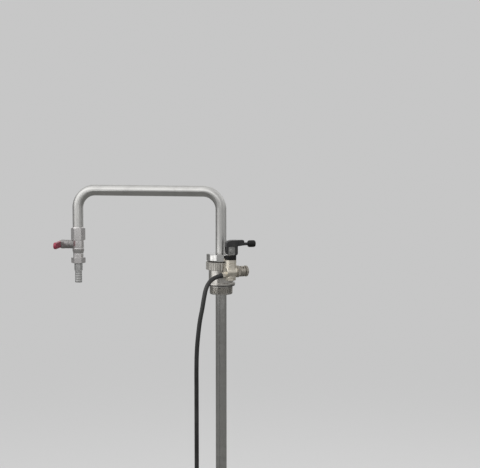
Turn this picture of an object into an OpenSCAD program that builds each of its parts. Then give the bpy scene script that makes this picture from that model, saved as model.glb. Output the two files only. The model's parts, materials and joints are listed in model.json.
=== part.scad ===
// Siphon head that lifts liquid out of a closed vessel by gas pressure.
// The origin is the centre of the bung seat and +Z runs up the riser.
// The spout points along -X, and the gas valve stands at the front right.

/* [Tube] */
// Outside diameter of the spout and dip tubes
tube_od = 28; // [25:0.5:30]
// Wall of the spout and dip tubes
tube_wall = 1.5; // [1:0.1:2.5]
// Centreline radius of the spout's two bends
bend_r = 46; // [38:1:60]
// Distance from the riser to the drop
spout_reach = 374.5; // [300:0.5:420]
// Height of the top run's centreline over the bung seat
arch_height = 240; // [225:5:300]
// Length of the drop, from the top run's centreline to the tap's mouth
drop_length = 96; // [80:1:120]
// Depth of the dip tube's lower end below the bung seat
dip_depth = 840; // [500:10:1000]

/* [Foot] */
// Wall of the foot around the dip tube
foot_wall = 2.5; // [1.5:0.25:4]
// Length of the dip tube held in the foot
foot_grip = 12; // [8:1:20]
// Depth of the foot below the dip tube's end
foot_drop = 16; // [14:1:24]
// Thickness of the foot's floor
foot_floor = 3; // [2:0.5:5]
// Number of slots that let liquid into the foot
foot_slots = 6; // [4:1:8]
// Width of a foot slot
foot_slot_w = 7; // [4:0.5:8]
// Height of a foot slot
foot_slot_h = 10; // [6:0.5:10]

/* [Head] */
// Outside diameter of the bung thread
bung_thread_d = 59.6; // [54:0.1:62]
// Length of the bung thread below the seat
bung_thread_length = 22; // [16:1:30]
// Thickness of the bung gasket
gasket_t = 2; // [1:0.5:4]
// Diameter of the seat flange
flange_d = 72; // [68:1:80]
// Height of the seat flange
flange_h = 6; // [4:0.5:10]
// Diameter of the neck
neck_d = 63; // [56:1:68]
// Height of the neck
neck_h = 33; // [30:1:40]
// Diameter of the grip ring that takes the gas port
grip_d = 77; // [74:1:84]
// Height of the grip ring
grip_h = 20; // [18:0.5:26]
// Number of flutes around the grip ring
flute_count = 36; // [24:1:40]
// Radius of a flute
flute_r = 2.2; // [1.5:0.1:2.6]
// Depth of a flute
flute_depth = 1.1; // [0.5:0.1:1.5]
// Bore of the head around the dip tube
head_bore_d = 36; // [33:0.5:40]

/* [Union] */
// Diameter of the union thread on top of the head
union_thread_d = 63.8; // [60:0.2:66]
// Height of the union thread
union_thread_h = 7; // [5:0.5:10]
// Outside diameter of the union nut
nut_d = 75; // [73:0.5:80]
// Thickness of the web on top of the nut
nut_web = 5; // [3:0.5:8]
// Number of spanner slots around the nut
nut_slots = 6; // [3:1:8]
// Width of a spanner slot
nut_slot_w = 18; // [8:0.5:20]
// Depth of a spanner slot
nut_slot_depth = 2.5; // [1:0.25:3]
// Turn of the first slot from the right
nut_turn = 37; // [0:1:60]
// Gap under the tightened nut
nut_gap = 3; // [0.5:0.25:3.5]
// Thickness of the union seal
union_seal_t = 2; // [1:0.5:3]
// Thickness of the collar on the riser
riser_collar_t = 6; // [4:0.5:9]
// Diameter of the collar on the dip tube
dip_collar_d = 45.6; // [43:0.2:50]
// Thickness of the collar on the dip tube
dip_collar_t = 4; // [2.5:0.5:5]
// Thickness of the seal under the dip tube's collar
dip_seal_t = 2; // [1:0.5:2.5]

/* [Tap] */
// Across flats of the tap's two hexagons
tap_hex = 32; // [31.5:0.5:38]
// Length of the socket over the tap body
socket_length = 29.5; // [20:0.5:34]
// Depth of the socket that holds the drop tube
socket_depth = 11; // [8:0.5:14]
// Length of the socket's nose inside the barrel
nose_length = 3; // [2:0.5:5]
// Height of the socket's skirt around the barrel's top
skirt_h = 4.3; // [2:0.1:4.4]
// Diameter of the barrel's top inside the skirt
skirt_d = 27; // [26:0.25:28]
// Diameter of the tap's barrel
barrel_d = 30; // [29:0.5:32]
// Diameter of the waist between the barrel and the lower hexagon
waist_d = 27; // [24:0.5:28]
// Diameter of the ball
ball_d = 21; // [19:0.25:22]
// Bore through the ball, the seats and the tap
tap_bore = 13; // [10:0.25:13.5]
// Distance from the ball's centre to the outer face of each seat
seat_span = 12.5; // [12:0.25:15]
// Height of each seat
seat_h = 6.5; // [5:0.25:7]
// Distance from the ball's centre to the tap body's lower end
body_drop = 48; // [44:0.5:60]
// Height of the lower hexagon
tap_hex_h = 14; // [12:0.5:18]
// Diameter of the stem boss
boss_d = 22; // [19:0.5:24]
// Length of the stem boss from the tap's axis
boss_length = 36; // [32:0.5:44]

/* [Tap lever] */
// Diameter of the tap stem
tap_stem_d = 8; // [6:0.25:8.5]
// Diameter of the stem packing
packing_d = 14; // [12:0.25:15]
// Height of the stem packing
packing_h = 5; // [3:0.5:6]
// Depth of the gland nut's thread
gland_thread = 5; // [4:0.5:7]
// Across flats of the gland nut
gland_hex = 20; // [18:0.5:22]
// Height of the gland nut's hexagon
gland_h = 9; // [6:0.5:12]
// Thickness of the lever plate
lever_t = 4; // [3:0.25:5]
// Width of the lever plate
lever_w = 13; // [11:0.5:16]
// Length of the lever from the stem's axis
lever_length = 56; // [45:1:90]
// Diameter of the lever's hub
lever_hub_d = 20; // [18:0.5:24]
// Distance from the stem's axis to the start of the grip
grip_start = 13; // [12:0.5:20]
// Wall of the grip around the lever plate
grip_wall = 2; // [1.25:0.25:3]
// Side of the square on the stem that turns the lever
stem_square = 5; // [4:0.25:5.5]
// Diameter of the thread on the stem's end
stem_thread_d = 5; // [4:0.25:5]
// Thickness of the lever's washer
washer_t = 1.2; // [0.8:0.1:2]
// Diameter of the lever's washer
washer_d = 12; // [10:0.5:14]
// Across flats of the lever's nut
lever_nut_hex = 10; // [8:0.5:12]
// Height of the lever's nut
lever_nut_h = 5; // [4:0.5:6]

/* [Nozzle] */
// Diameter of the nozzle's thread
nozzle_thread_d = 16.6; // [15:0.1:19]
// Length of the nozzle's thread
nozzle_thread_length = 9; // [7:0.5:12]
// Across flats of the nozzle's hexagon
nozzle_hex = 18.5; // [18:0.5:24]
// Height of the nozzle's hexagon
nozzle_hex_h = 18.5; // [10:0.5:22]
// Thickness of the washer over the nozzle
nozzle_washer_t = 1.5; // [1:0.25:3]
// Length of the nozzle's ribbed tail
tail_length = 31; // [24:1:45]
// Diameter over the tail's ribs
tail_d = 18.5; // [15.5:0.25:19]
// Number of ribs on the tail
tail_ribs = 5; // [3:1:7]
// Depth between the ribs
tail_rib_depth = 0.5; // [0.3:0.1:1.5]
// Bore of the nozzle
nozzle_bore = 12; // [9:0.25:12.5]

/* [Gas valve] */
// Angle of the gas valve from the front, towards the right
gas_angle = 35; // [20:1:45]
// Width of the valve's cross-shaped body between its end faces
block_w = 30; // [28:0.5:34]
// Diameter of the body's level barrel
cross_d = 29; // [28:0.5:29.5]
// Diameter of the body's round foot
foot_boss_d = 26; // [24:0.5:27]
// Diameter of the body's boss for the spigot
spigot_boss_d = 22; // [20:0.5:24]
// Depth of the foot's lower face below the gas port
block_drop = 26; // [25.5:0.25:28]
// Diameter of the body's round neck
valve_neck_d = 28; // [26:0.5:28.5]
// Height of the neck's top over the gas port
valve_neck_h = 17; // [15:0.5:20]
// Diameter of the chamber over the valve seat
chamber_d = 20; // [19:0.25:21]
// Diameter of the chamber under the valve seat
inlet_chamber_d = 18; // [16:0.25:19]
// Depth of the valve seat below the gas port
valve_seat_drop = 4; // [4:0.25:5]
// Thickness of the web that the seat is cut in
seat_web = 3; // [2.5:0.25:4]
// Diameter of the seat's orifice
orifice_d = 10; // [6:0.25:11]
// Across flats of the hexagon on the spigot to the head
spigot_hex = 17; // [15:0.5:18]
// Length of the spigot's hexagon
spigot_neck = 5; // [4:0.25:8]
// Diameter of the spigot's thread
spigot_thread_d = 13.2; // [10:0.1:13.5]
// Length of the spigot's thread in the head
spigot_thread_length = 12; // [8:0.5:14]
// Bore of the gas passages
gas_bore = 6; // [4:0.25:6.5]
// Across flats of the plug under the block
plug_hex = 22; // [20:0.5:24]
// Height of the plug's hexagon
plug_hex_h = 6; // [4:0.5:8]
// Length of the plug's thread
plug_thread = 6; // [4:0.5:7]

/* [Gas valve stem] */
// Diameter of the valve stem
gas_stem_d = 7; // [6:0.25:7.5]
// Thickness of the valve disc
disc_t = 3; // [2:0.25:4]
// Diameter of the valve disc
disc_d = 15; // [14:0.25:16]
// Diameter of the stem's foot over the disc
stem_foot_d = 16; // [15:0.25:17]
// Thickness of the stem's foot
stem_foot_t = 3; // [2:0.25:4]
// Length of the bonnet's thread in the block
bonnet_thread = 10; // [8:0.5:11]
// Thickness of the bonnet's flange
bonnet_flange_t = 3; // [2.5:0.25:5]
// Diameter of the bonnet's neck
bonnet_neck_d = 18; // [16:0.25:20]
// Height of the black collar around the bonnet
valve_collar_h = 11; // [9:0.5:14]
// Diameter of the spring pocket in the bonnet
spring_pocket_d = 15; // [14:0.25:16]
// Depth of the spring pocket in the bonnet
spring_pocket_h = 12; // [10:0.25:12.5]
// Middle diameter of the valve spring
valve_spring_d = 11.5; // [10.5:0.25:12]
// Wire of the valve spring
valve_spring_wire = 1.4; // [1:0.1:1.6]
// Turns of the valve spring
valve_spring_turns = 5; // [4:1:6]
// Height of the stem seal
stem_seal_h = 3; // [2:0.25:4]
// Diameter of the stem seal
stem_seal_d = 12; // [10:0.25:13]

/* [Gas lever] */
// Turn of the lever's plane from the valve's level ports
lever_yaw = 12; // [0:1:20]
// Distance from the lever's pin to its lower face when closed
cam_low = 11.5; // [10.8:0.1:13]
// Rise of the valve stem when the lever stands up
cam_lift = 1.6; // [1:0.1:2]
// Width of the lever's head along the pin
lever_head_w = 20; // [18.4:0.2:24]
// Width of the slot in the lever's head for the stem
lever_slot_w = 12.4; // [10:0.2:13]
// Radius of the slot around the pin
lever_slot_r = 10; // [9:0.25:10.5]
// Height of the lever's head over the pin
head_top = 23.25; // [21:0.25:26]
// Reach of the lever's head from the pin towards the knob
head_front = 16.5; // [15:0.25:19]
// Height of the lever's arm over the pin, at the arm's middle
arm_rise = 16.75; // [15:0.25:18]
// Thickness of the lever's arm
arm_t = 7; // [5:0.25:8]
// Height of the lever's thick shoulder over the pin
shoulder_top = 26.75; // [24:0.25:28]
// Height of the shoulder's underside over the pin
shoulder_under = 11.25; // [9.5:0.25:13]
// Distance from the pin to the shoulder's end
shoulder_end = 34; // [28:1:38]
// Width of the lever's arm
arm_w = 12; // [9:0.5:16]
// Distance from the pin to the knob
knob_start = 44; // [40:1:60]
// Length of the knob
knob_length = 20; // [18:0.5:32]
// Diameter of the knob
knob_d = 17.5; // [14:0.5:22]
// Diameter of the stub that holds the knob
stub_d = 5; // [4:0.25:6]
// Length of the stub that holds the knob
stub_length = 15; // [10:0.5:16]
// Diameter of the lever's pin
pin_d = 8; // [6:0.25:8.5]
// Diameter of the pin's heads
pin_head_d = 12; // [10:0.5:14]
// Thickness of the pin's heads
pin_head_t = 1.5; // [1:0.25:2]
// Width of the keeper plates under the pin's heads
keeper_w = 17; // [15:0.5:19]
// Height of the keeper plates
keeper_h = 21; // [18:0.5:22]
// Thickness of the keeper plates
keeper_t = 1.5; // [1:0.25:2]

/* [Gas hose] */
// Fall of the hose barb from the level
inlet_tilt = 11; // [8:1:16]
// Depth of the inlet below the gas port, on the valve's axis
inlet_drop = 14; // [13:0.5:16]
// Diameter of the inlet boss on the block
inlet_boss_d = 15; // [13:0.5:17]
// Distance from the valve's axis to the inlet boss's end
inlet_boss_end = 18; // [18:0.25:20]
// Diameter of the barb's thread in the block
barb_thread_d = 9.6; // [8:0.1:10.5]
// Length of the barb's thread
barb_thread = 7; // [5:0.25:7.5]
// Across flats of the barb's hexagon
barb_hex = 13; // [12:0.5:15]
// Length of the barb's hexagon
barb_hex_h = 3; // [2:0.25:5]
// Diameter of the barb's tail in the hose
barb_tail_d = 7; // [6:0.25:7.5]
// Length of the barb's tail
barb_tail = 9; // [7:0.25:9.5]
// Outside diameter of the hose
hose_d = 11; // [9:0.25:12]
// Diameter of the ferrules on the hose
ferrule_d = 13.4; // [13:0.2:15]
// Length of the ferrule at the valve
ferrule_length = 10; // [10:0.5:14]
// Length of the ferrule at the plug
end_ferrule_length = 22; // [16:0.5:30]
// Across flats of the hose plug's hexagon
hose_plug_hex = 14; // [13:0.5:17]
// Length of the hose plug below its hexagon
hose_plug_length = 26; // [20:0.5:34]
// Diameter of the hose plug's nose
hose_plug_d = 10; // [8:0.25:11]

/* [Relief valve] */
// Depth of the relief valve's axis below the gas port
relief_drop = 10.5; // [10:0.25:12]
// Diameter of the relief valve's thread in the block
relief_thread_d = 9.6; // [8:0.1:10]
// Length of the relief valve's thread
relief_thread = 5.5; // [4:0.25:6]
// Across flats of the relief valve's hexagon
relief_hex = 26; // [24:0.5:28]
// Length of the relief valve's hexagon
relief_hex_h = 8; // [6:0.25:10]
// Diameter of the relief valve's barrel
relief_d = 27; // [24:0.5:28]
// Length of the relief valve's barrel
relief_length = 15.5; // [15:0.5:22]
// Thickness of the wall under the relief seat
relief_seat_t = 4; // [3:0.25:5]
// Diameter of the relief valve's chamber
relief_chamber_d = 17; // [16:0.25:19]
// Diameter of the relief disc
relief_disc_d = 12; // [9:0.25:14]
// Thickness of the relief disc
relief_disc_t = 2.5; // [2:0.25:3]
// Diameter of the relief stem
relief_stem_d = 5; // [4:0.25:5.5]
// Thickness of the flange on the relief stem
relief_flange_t = 2; // [1.5:0.25:2.5]
// Length of the bush that closes the relief chamber
relief_bush_h = 4; // [3:0.25:5]
// Middle diameter of the relief spring
relief_spring_d = 10; // [9:0.25:11]
// Wire of the relief spring
relief_spring_wire = 1.2; // [0.8:0.1:1.4]
// Turns of the relief spring
relief_spring_turns = 4; // [3:1:5]
// Diameter of the relief valve's pull cap
relief_cap_d = 28; // [26:0.5:30]
// Length of the relief valve's pull cap
relief_cap_h = 7.75; // [6.5:0.25:12]
// Number of grooves around the pull cap
relief_cap_grooves = 20; // [12:1:24]
// Diameter of each of the barrel's vent holes
relief_vent_d = 4; // [3:0.25:5]

/* [Fits] */
// Radial clearance of a moving fit
run_fit = 0.05; // [0.02:0.01:0.09]
// Radial clearance between pieces that stay together
seat_fit = 0.05; // [0.02:0.01:0.1]
// Gap between flat faces that slide or turn on each other
face_gap = 0.2; // [0.1:0.05:0.4]
// Gap under the lever's cam
cam_gap = 0.3; // [0.2:0.05:0.5]
// Chamfer on turned edges
edge = 0.8; // [0.4:0.1:1]

/* [Hidden] */
$fn = 96;

// Cutting tools reach this far past the faces that they cut
past = 1;
// Chamfer on the corners of the hexagons
hex_chamfer = 1.2;
// Play around the riser where it passes the nut's web
web_play = 0.5;
// Depth of the relief groove between the bung thread and its flange
thread_relief = 1;
// Turn of the gas lever from shut to open
lever_turn = 90;
// Tube radii
tube_r = tube_od / 2;
tube_bore_d = tube_od - 2 * tube_wall;

// Heights up the head, from the bung seat
flange_z = gasket_t;
neck_z = flange_z + flange_h;
grip_z = neck_z + neck_h;
port_z = grip_z + grip_h / 2;
thread_z = grip_z + grip_h;
seal_z = thread_z + union_thread_h;
collar_z = seal_z + union_seal_t;
web_z = collar_z + riser_collar_t + face_gap;
nut_z = thread_z + nut_gap;
nut_top = web_z + nut_web;
dip_seal_z = seal_z - dip_collar_t - dip_seal_t;
nut_bore_d = union_thread_d + 2 * run_fit;
// Depth of the spigot's flat below the flutes, and the room around its hexagon
spot_under = 0.2;
spot_room = 1;
spot_r = grip_d / 2 - flute_depth - spot_under;
spot_d = spigot_hex / cos(30) + 2 * spot_room;

// Heights of the tap, from the ball's centre
mouth_z = arch_height - drop_length;
socket_z = seat_span + nose_length;
ball_z = mouth_z - socket_length - socket_z;
drop_end_z = mouth_z - socket_depth;
// Room around the ball in the barrel
ball_room = 0.9;
cavity_d = ball_d + 2 * ball_room;
// Tongue on the stem's end and the depth of its slot in the ball
tongue_w = 4;
tongue_h = 7;
ball_slot_depth = 2.5;
packing_x = boss_length - gland_thread - packing_h;
lever_x = boss_length + gland_h + face_gap;
washer_x = lever_x + lever_t;
lever_nut_x = washer_x + washer_t;
// Thread that shows past the lever's nut
thread_tip = 1;
stem_end_x = lever_nut_x + lever_nut_h + thread_tip;
nozzle_z = -body_drop - nozzle_washer_t;
tail_z = nozzle_z - nozzle_hex_h;

// Places of the gas valve
gas_offset = spot_r + spigot_neck + block_w / 2;
block_z = port_z - block_drop;
bonnet_z = port_z + valve_neck_h;
valve_seat_z = port_z - valve_seat_drop;
web_under_z = valve_seat_z - seat_web;
stem_foot_z = valve_seat_z + disc_t;
spring_z = stem_foot_z + stem_foot_t;
spring_top_z = bonnet_z - bonnet_thread + spring_pocket_h;
valve_collar_z = bonnet_z + bonnet_flange_t;
valve_collar_top = valve_collar_z + valve_collar_h;
// Height of the seal groove's floor over the bonnet's flange
stem_seal_rise = 3;
stem_seal_z = valve_collar_z + stem_seal_rise;
pin_z = valve_collar_top + cam_gap + cam_low;
stem_head_w = lever_slot_w - 2 * face_gap;
// Room around the stem's head in the lever's slot
stem_head_room = 2;
stem_head_d = 2 * (lever_slot_r - stem_head_room);
stem_neck_w = 10;
// Pin of the disc that holds it under the stem's foot
disc_pin_d = 5;
// Steps of the cam's curve
cam_steps = 12;
relief_z = port_z - relief_drop;
relief_seat_x = block_w / 2 + relief_seat_t;
relief_end_x = block_w / 2 + relief_hex_h + relief_length;
relief_flange_x = relief_seat_x + relief_disc_t;
relief_spring_x = relief_flange_x + relief_flange_t;
relief_bush_x = relief_end_x - relief_bush_h;
// Gap under the pull cap, and the height of its bevelled crown
cap_gap = 0.5;
cap_crown = 2;
relief_cap_x = relief_end_x + cap_gap;
// Room for the gas around the relief stem's flange
relief_flange_room = 1.25;
relief_flange_d = relief_chamber_d - 2 * relief_flange_room;
inlet_z = port_z - inlet_drop;
barb_tail_x = inlet_boss_end + barb_hex_h;
hose_start_x = barb_tail_x + ferrule_length;
// Wall of the barb's tail
barb_wall = 1.3;
barb_bore_d = barb_tail_d - 2 * barb_wall;

// The hose leaves its ferrule along the barb, then hangs through these points
inlet_dir = [-cos(inlet_tilt) * cos(gas_angle), -cos(inlet_tilt) * sin(gas_angle), -sin(inlet_tilt)];
valve_axis = [gas_offset * sin(gas_angle), -gas_offset * cos(gas_angle), inlet_z];
hose_points = [
    [0, -70, 29], [-9, -80, 24], [-16.5, -90.5, 14.5], [-21.5, -98.5, 1.5], [-25, -104, -18], [-29, -109, -46],
    [-34, -113, -75], [-38, -116, -110], [-41, -118.5, -150], [-42, -120, -200], [-42, -120, -240],
    [-42, -120, -280], [-42, -120, -320], [-42, -120, -360], [-42, -120, -400], [-42, -120, -440],
    [-42, -120, -480], [-42, -120, -520], [-42, -120, -560], [-42, -120, -600], [-42, -120, -640],
    [-42, -120, -680], [-42, -120, -720], [-42, -120, -760]
];
hose_route = concat([valve_axis + hose_start_x * inlet_dir], hose_points);
hose_end = hose_points[len(hose_points) - 1];
hose_sides = 10;

function unit(v) = v / norm(v);

// Heading of a path at one of its points, with its first heading given
function heading(path, i, first) =
    i == 0 ? first :
    i == len(path) - 1 ? unit(path[i] - path[i - 1]) :
    unit(unit(path[i + 1] - path[i]) + unit(path[i] - path[i - 1]));

// Ring of points around a path, square to its heading
function ring_points(centre, along, side, r, sides) =
    let (u = unit(side - (side * along) * along), v = cross(along, u))
    [for (k = [0 : sides - 1]) centre + r * (cos(360 * k / sides) * u + sin(360 * k / sides) * v)];

// Triangles of a closed tube of rings
function tube_faces(rings, sides) = concat(
    [for (i = [0 : rings - 2], k = [0 : sides - 1]) let (n = (k + 1) % sides)
        [i * sides + n, i * sides + k, (i + 1) * sides + k]],
    [for (i = [0 : rings - 2], k = [0 : sides - 1]) let (n = (k + 1) % sides)
        [(i + 1) * sides + n, i * sides + n, (i + 1) * sides + k]],
    [for (k = [1 : sides - 2]) [0, k, k + 1]],
    [for (k = [1 : sides - 2]) let (last = (rings - 1) * sides) [last, last + k + 1, last + k]]
);

// Points of a compression spring's centreline along +Z
function coil_path(d, length, turns) =
    [for (i = [0 : 8 * turns]) [d / 2 * cos(45 * i), d / 2 * sin(45 * i), length * i / (8 * turns)]];

// Least gap of a coil to itself, measured from half a turn on
function coil_gap(path, wire) =
    min([for (i = [0 : len(path) - 5], j = [i + 4 : len(path) - 1]) norm(path[i] - path[j])]) - wire;

// Point of the cam at an angle from straight down, for a rise that is even in the angle
function cam_point(a) =
    let (rate = cam_lift / lever_turn, reach = cam_low + rate * a, shift = rate * 180 / PI)
    [-reach * sin(a) - shift * cos(a), -reach * cos(a) + shift * sin(a)];

// Ring between two diameters
module ring(outer, inner, h) {
    difference() {
        cylinder(d = outer, h = h);
        translate([0, 0, -past]) cylinder(d = inner, h = h + 2 * past);
    }
}

// Ring with both of its outer edges chamfered
module turned_ring(outer, inner, h, chamfer) {
    rotate_extrude() polygon([
        [inner / 2, 0], [outer / 2 - chamfer, 0], [outer / 2, chamfer],
        [outer / 2, h - chamfer], [outer / 2 - chamfer, h], [inner / 2, h]
    ]);
}

// Hexagon with turned corners at both ends
module hex_bar(flats, h) {
    corner = flats / cos(30) / 2;
    intersection() {
        cylinder(r = corner, h = h, $fn = 6);
        rotate_extrude() polygon([
            [0, 0], [corner - hex_chamfer, 0], [corner, hex_chamfer / 2],
            [corner, h - hex_chamfer / 2], [corner - hex_chamfer, h], [0, h]
        ]);
    }
}

// Length of the spout's tube along +Z
module pipe(length) {
    ring(tube_od, tube_bore_d, length);
}

// Quarter bend of the spout's tube, from +Z towards -X, with what follows its end
module pipe_bend() {
    translate([-bend_r, 0, 0]) rotate([90, 0, 0]) rotate_extrude(angle = 90)
        translate([bend_r, 0]) difference() {
            circle(d = tube_od);
            circle(d = tube_bore_d);
        }
    translate([-bend_r, 0, bend_r]) rotate([0, -90, 0]) children();
}

// Compression spring along +Z between two flat faces
module coil_spring(d, wire, length, turns) {
    sides = 6;
    path = coil_path(d, length - wire - 2 * face_gap, turns);
    points = [for (i = [0 : len(path) - 1])
        each ring_points(path[i], heading(path, i, [0, 1, 0]), [0, 0, 1], wire / 2, sides)];
    echo(least_gap_of_coil = coil_gap(path, wire));
    translate([0, 0, wire / 2 + face_gap]) polyhedron(points, tube_faces(len(path), sides));
}

// Frame of the tap: the ball's centre, with the stem along -X
module at_tap() {
    translate([-spout_reach, 0, ball_z]) children();
}

// Frame of the tap's stem: +Z runs out along the stem
module along_stem(x) {
    at_tap() translate([-x, 0, 0]) rotate([0, -90, 0]) children();
}

// Frame of the gas valve: its upright axis, with the hose at -X and the head at +Y
module at_valve() {
    rotate([0, 0, gas_angle]) translate([0, -gas_offset, 0]) children();
}

// Frame of the hose's inlet: +Z runs out along the barb
module along_inlet(x) {
    at_valve() translate([0, 0, inlet_z]) rotate([0, -90 - inlet_tilt, 0]) translate([0, 0, x]) children();
}

// Frame of the relief valve: +Z runs out along its stem
module along_relief(x) {
    at_valve() translate([x, 0, relief_z]) rotate([0, 90, 0]) children();
}

// Frame of the gas lever's pin
module at_pin() {
    at_valve() translate([0, 0, pin_z]) rotate(-lever_yaw) children();
}

// Frame of the spigot: +Z runs from the gas valve to the head
module along_spigot(x) {
    at_valve() translate([0, x, port_z]) rotate([-90, 0, 0]) children();
}

// Outline of the grip ring with its flutes
module grip_outline() {
    difference() {
        circle(d = grip_d);
        for (k = [0 : flute_count - 1]) rotate(360 * k / flute_count)
            translate([grip_d / 2 + flute_r - flute_depth, 0]) circle(r = flute_r, $fn = 24);
    }
}

module head_body() {
    thread_r = bung_thread_d / 2;
    bore_r = head_bore_d / 2;
    color("silver") difference() {
        union() {
            rotate_extrude() polygon([
                [bore_r, -bung_thread_length], [thread_r - 2 * edge, -bung_thread_length],
                [thread_r, -bung_thread_length + 2 * edge], [thread_r, 0],
                [thread_r - thread_relief, 0], [thread_r - thread_relief, flange_z],
                [flange_d / 2 - edge, flange_z], [flange_d / 2, flange_z + edge],
                [flange_d / 2, neck_z - edge], [flange_d / 2 - edge, neck_z],
                [neck_d / 2, neck_z], [neck_d / 2, grip_z], [union_thread_d / 2, thread_z],
                [union_thread_d / 2, seal_z - edge], [union_thread_d / 2 - edge, seal_z], [bore_r, seal_z]
            ]);
            translate([0, 0, grip_z]) linear_extrude(grip_h) difference() {
                grip_outline();
                circle(d = head_bore_d);
            }
        }
        translate([0, 0, dip_seal_z])
            cylinder(d = dip_collar_d + 2 * seat_fit, h = dip_collar_t + dip_seal_t + past);
        along_spigot(block_w / 2 + spigot_neck) {
            translate([0, 0, -spigot_neck]) cylinder(d = spot_d, h = spigot_neck);
            translate([0, 0, -past])
                cylinder(d = spigot_thread_d + 2 * seat_fit, h = spigot_thread_length + past);
            cylinder(d = gas_bore, h = spot_r);
        }
    }
}

module bung_gasket() {
    color("dimgray") ring(flange_d - 2 * edge, bung_thread_d + 2 * seat_fit, gasket_t);
}

module dip_tube() {
    color("lightgray") {
        translate([0, 0, -dip_depth]) pipe(dip_depth + seal_z);
        translate([0, 0, seal_z - dip_collar_t]) ring(dip_collar_d, tube_bore_d, dip_collar_t);
    }
}

module dip_tube_seal() {
    color("black") translate([0, 0, dip_seal_z]) ring(dip_collar_d, tube_od + 2 * seat_fit, dip_seal_t);
}

module dip_tube_foot() {
    outer = tube_od + 2 * (seat_fit + foot_wall);
    color("white") translate([0, 0, -dip_depth]) difference() {
        translate([0, 0, -foot_drop]) turned_ring(outer, tube_bore_d, foot_drop + foot_grip, edge);
        cylinder(d = tube_od + 2 * seat_fit, h = foot_grip + past);
        for (k = [0 : foot_slots - 1]) rotate(360 * k / foot_slots)
            translate([0, -foot_slot_w / 2, foot_floor - foot_drop])
                cube([outer, foot_slot_w, foot_slot_h]);
    }
    color("white") translate([0, 0, -dip_depth - foot_drop]) cylinder(d = tube_bore_d, h = foot_floor);
}

module union_seal() {
    color("black") translate([0, 0, seal_z]) ring(union_thread_d - 4 * edge, tube_bore_d, union_seal_t);
}

module union_nut() {
    color("gainsboro") difference() {
        translate([0, 0, nut_z]) turned_ring(nut_d, tube_od + 2 * web_play, nut_top - nut_z, 2 * edge);
        translate([0, 0, nut_z - past]) cylinder(d = nut_bore_d, h = web_z - nut_z + past);
        for (k = [0 : nut_slots - 1]) rotate(nut_turn + 360 * k / nut_slots)
            translate([nut_d / 2 - nut_slot_depth, -nut_slot_w / 2, nut_z - past])
                cube([nut_d, nut_slot_w, nut_top - nut_z + 2 * past]);
    }
}

module riser_collar() {
    color("lightgray") translate([0, 0, collar_z])
        turned_ring(union_thread_d, tube_od + 2 * seat_fit, riser_collar_t, edge);
}

module arch_tube() {
    corner_z = arch_height - bend_r;
    rise = corner_z - collar_z;
    level = spout_reach - 2 * bend_r;
    color("lightgray") translate([0, 0, collar_z]) {
        pipe(rise);
        translate([0, 0, rise]) pipe_bend() {
            pipe(level);
            translate([0, 0, level]) pipe_bend() pipe(corner_z - drop_end_z);
        }
    }
}

module tap_socket() {
    // Height of the round rim over the hexagon
    rim_h = 3;
    color("silver") at_tap() difference() {
        union() {
            translate([0, 0, seat_span]) cylinder(d = cavity_d - 2 * seat_fit, h = nose_length + past);
            difference() {
                translate([0, 0, socket_z - skirt_h]) hex_bar(tap_hex, socket_length + skirt_h - rim_h);
                translate([0, 0, socket_z - skirt_h - past])
                    cylinder(d = skirt_d + 2 * seat_fit, h = skirt_h + past);
            }
            translate([0, 0, socket_z + socket_length - rim_h])
                cylinder(d1 = tap_hex, d2 = tap_hex - 2 * edge, h = rim_h);
        }
        translate([0, 0, seat_span - past]) cylinder(d = tap_bore, h = socket_length + nose_length);
        translate([0, 0, socket_z + socket_length - socket_depth])
            cylinder(d = tube_od + 2 * seat_fit, h = socket_depth + past);
    }
}

module tap_body() {
    // The barrel narrows to the waist this far below the seats
    cone_h = 4;
    shoulder_z = -seat_span - cone_h;
    top_z = socket_z - skirt_h - face_gap;
    color("silver") at_tap() difference() {
        union() {
            rotate_extrude() polygon([
                [0, tap_hex_h - body_drop], [waist_d / 2, tap_hex_h - body_drop],
                [waist_d / 2, shoulder_z - cone_h], [barrel_d / 2, shoulder_z],
                [barrel_d / 2, top_z], [skirt_d / 2, top_z], [skirt_d / 2, socket_z], [0, socket_z]
            ]);
            translate([0, 0, -body_drop]) hex_bar(tap_hex, tap_hex_h);
            rotate([0, -90, 0]) cylinder(d = boss_d, h = boss_length);
        }
        translate([0, 0, -seat_span]) cylinder(d = cavity_d, h = seat_span + socket_z + past);
        translate([0, 0, -body_drop - past]) cylinder(d = tap_bore, h = body_drop);
        translate([0, 0, -body_drop - past])
            cylinder(d = nozzle_thread_d + 2 * seat_fit, h = nozzle_thread_length + past);
        rotate([0, -90, 0]) cylinder(d = tap_stem_d + 2 * run_fit, h = boss_length + past);
        translate([-packing_x, 0, 0]) rotate([0, -90, 0])
            cylinder(d = packing_d + 2 * seat_fit, h = boss_length - packing_x + past);
    }
}

// Seat over the ball, with its flat face at the top
module ball_seat() {
    difference() {
        translate([0, 0, seat_span - seat_h]) ring(cavity_d - 2 * seat_fit, tap_bore, seat_h);
        sphere(r = ball_d / 2 + run_fit);
    }
}

module tap_seat_upper() {
    color("white") at_tap() ball_seat();
}

module tap_seat_lower() {
    color("white") at_tap() rotate([180, 0, 0]) ball_seat();
}

module tap_stem_packing() {
    color("white") along_stem(packing_x) ring(packing_d, tap_stem_d + 2 * run_fit, packing_h);
}

module tap_gland_nut() {
    color("silver") along_stem(boss_length) difference() {
        union() {
            translate([0, 0, -gland_thread]) cylinder(d = packing_d, h = gland_thread);
            hex_bar(gland_hex, gland_h);
        }
        translate([0, 0, -gland_thread - past])
            cylinder(d = tap_stem_d + 2 * run_fit, h = gland_thread + gland_h + 2 * past);
    }
}

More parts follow.
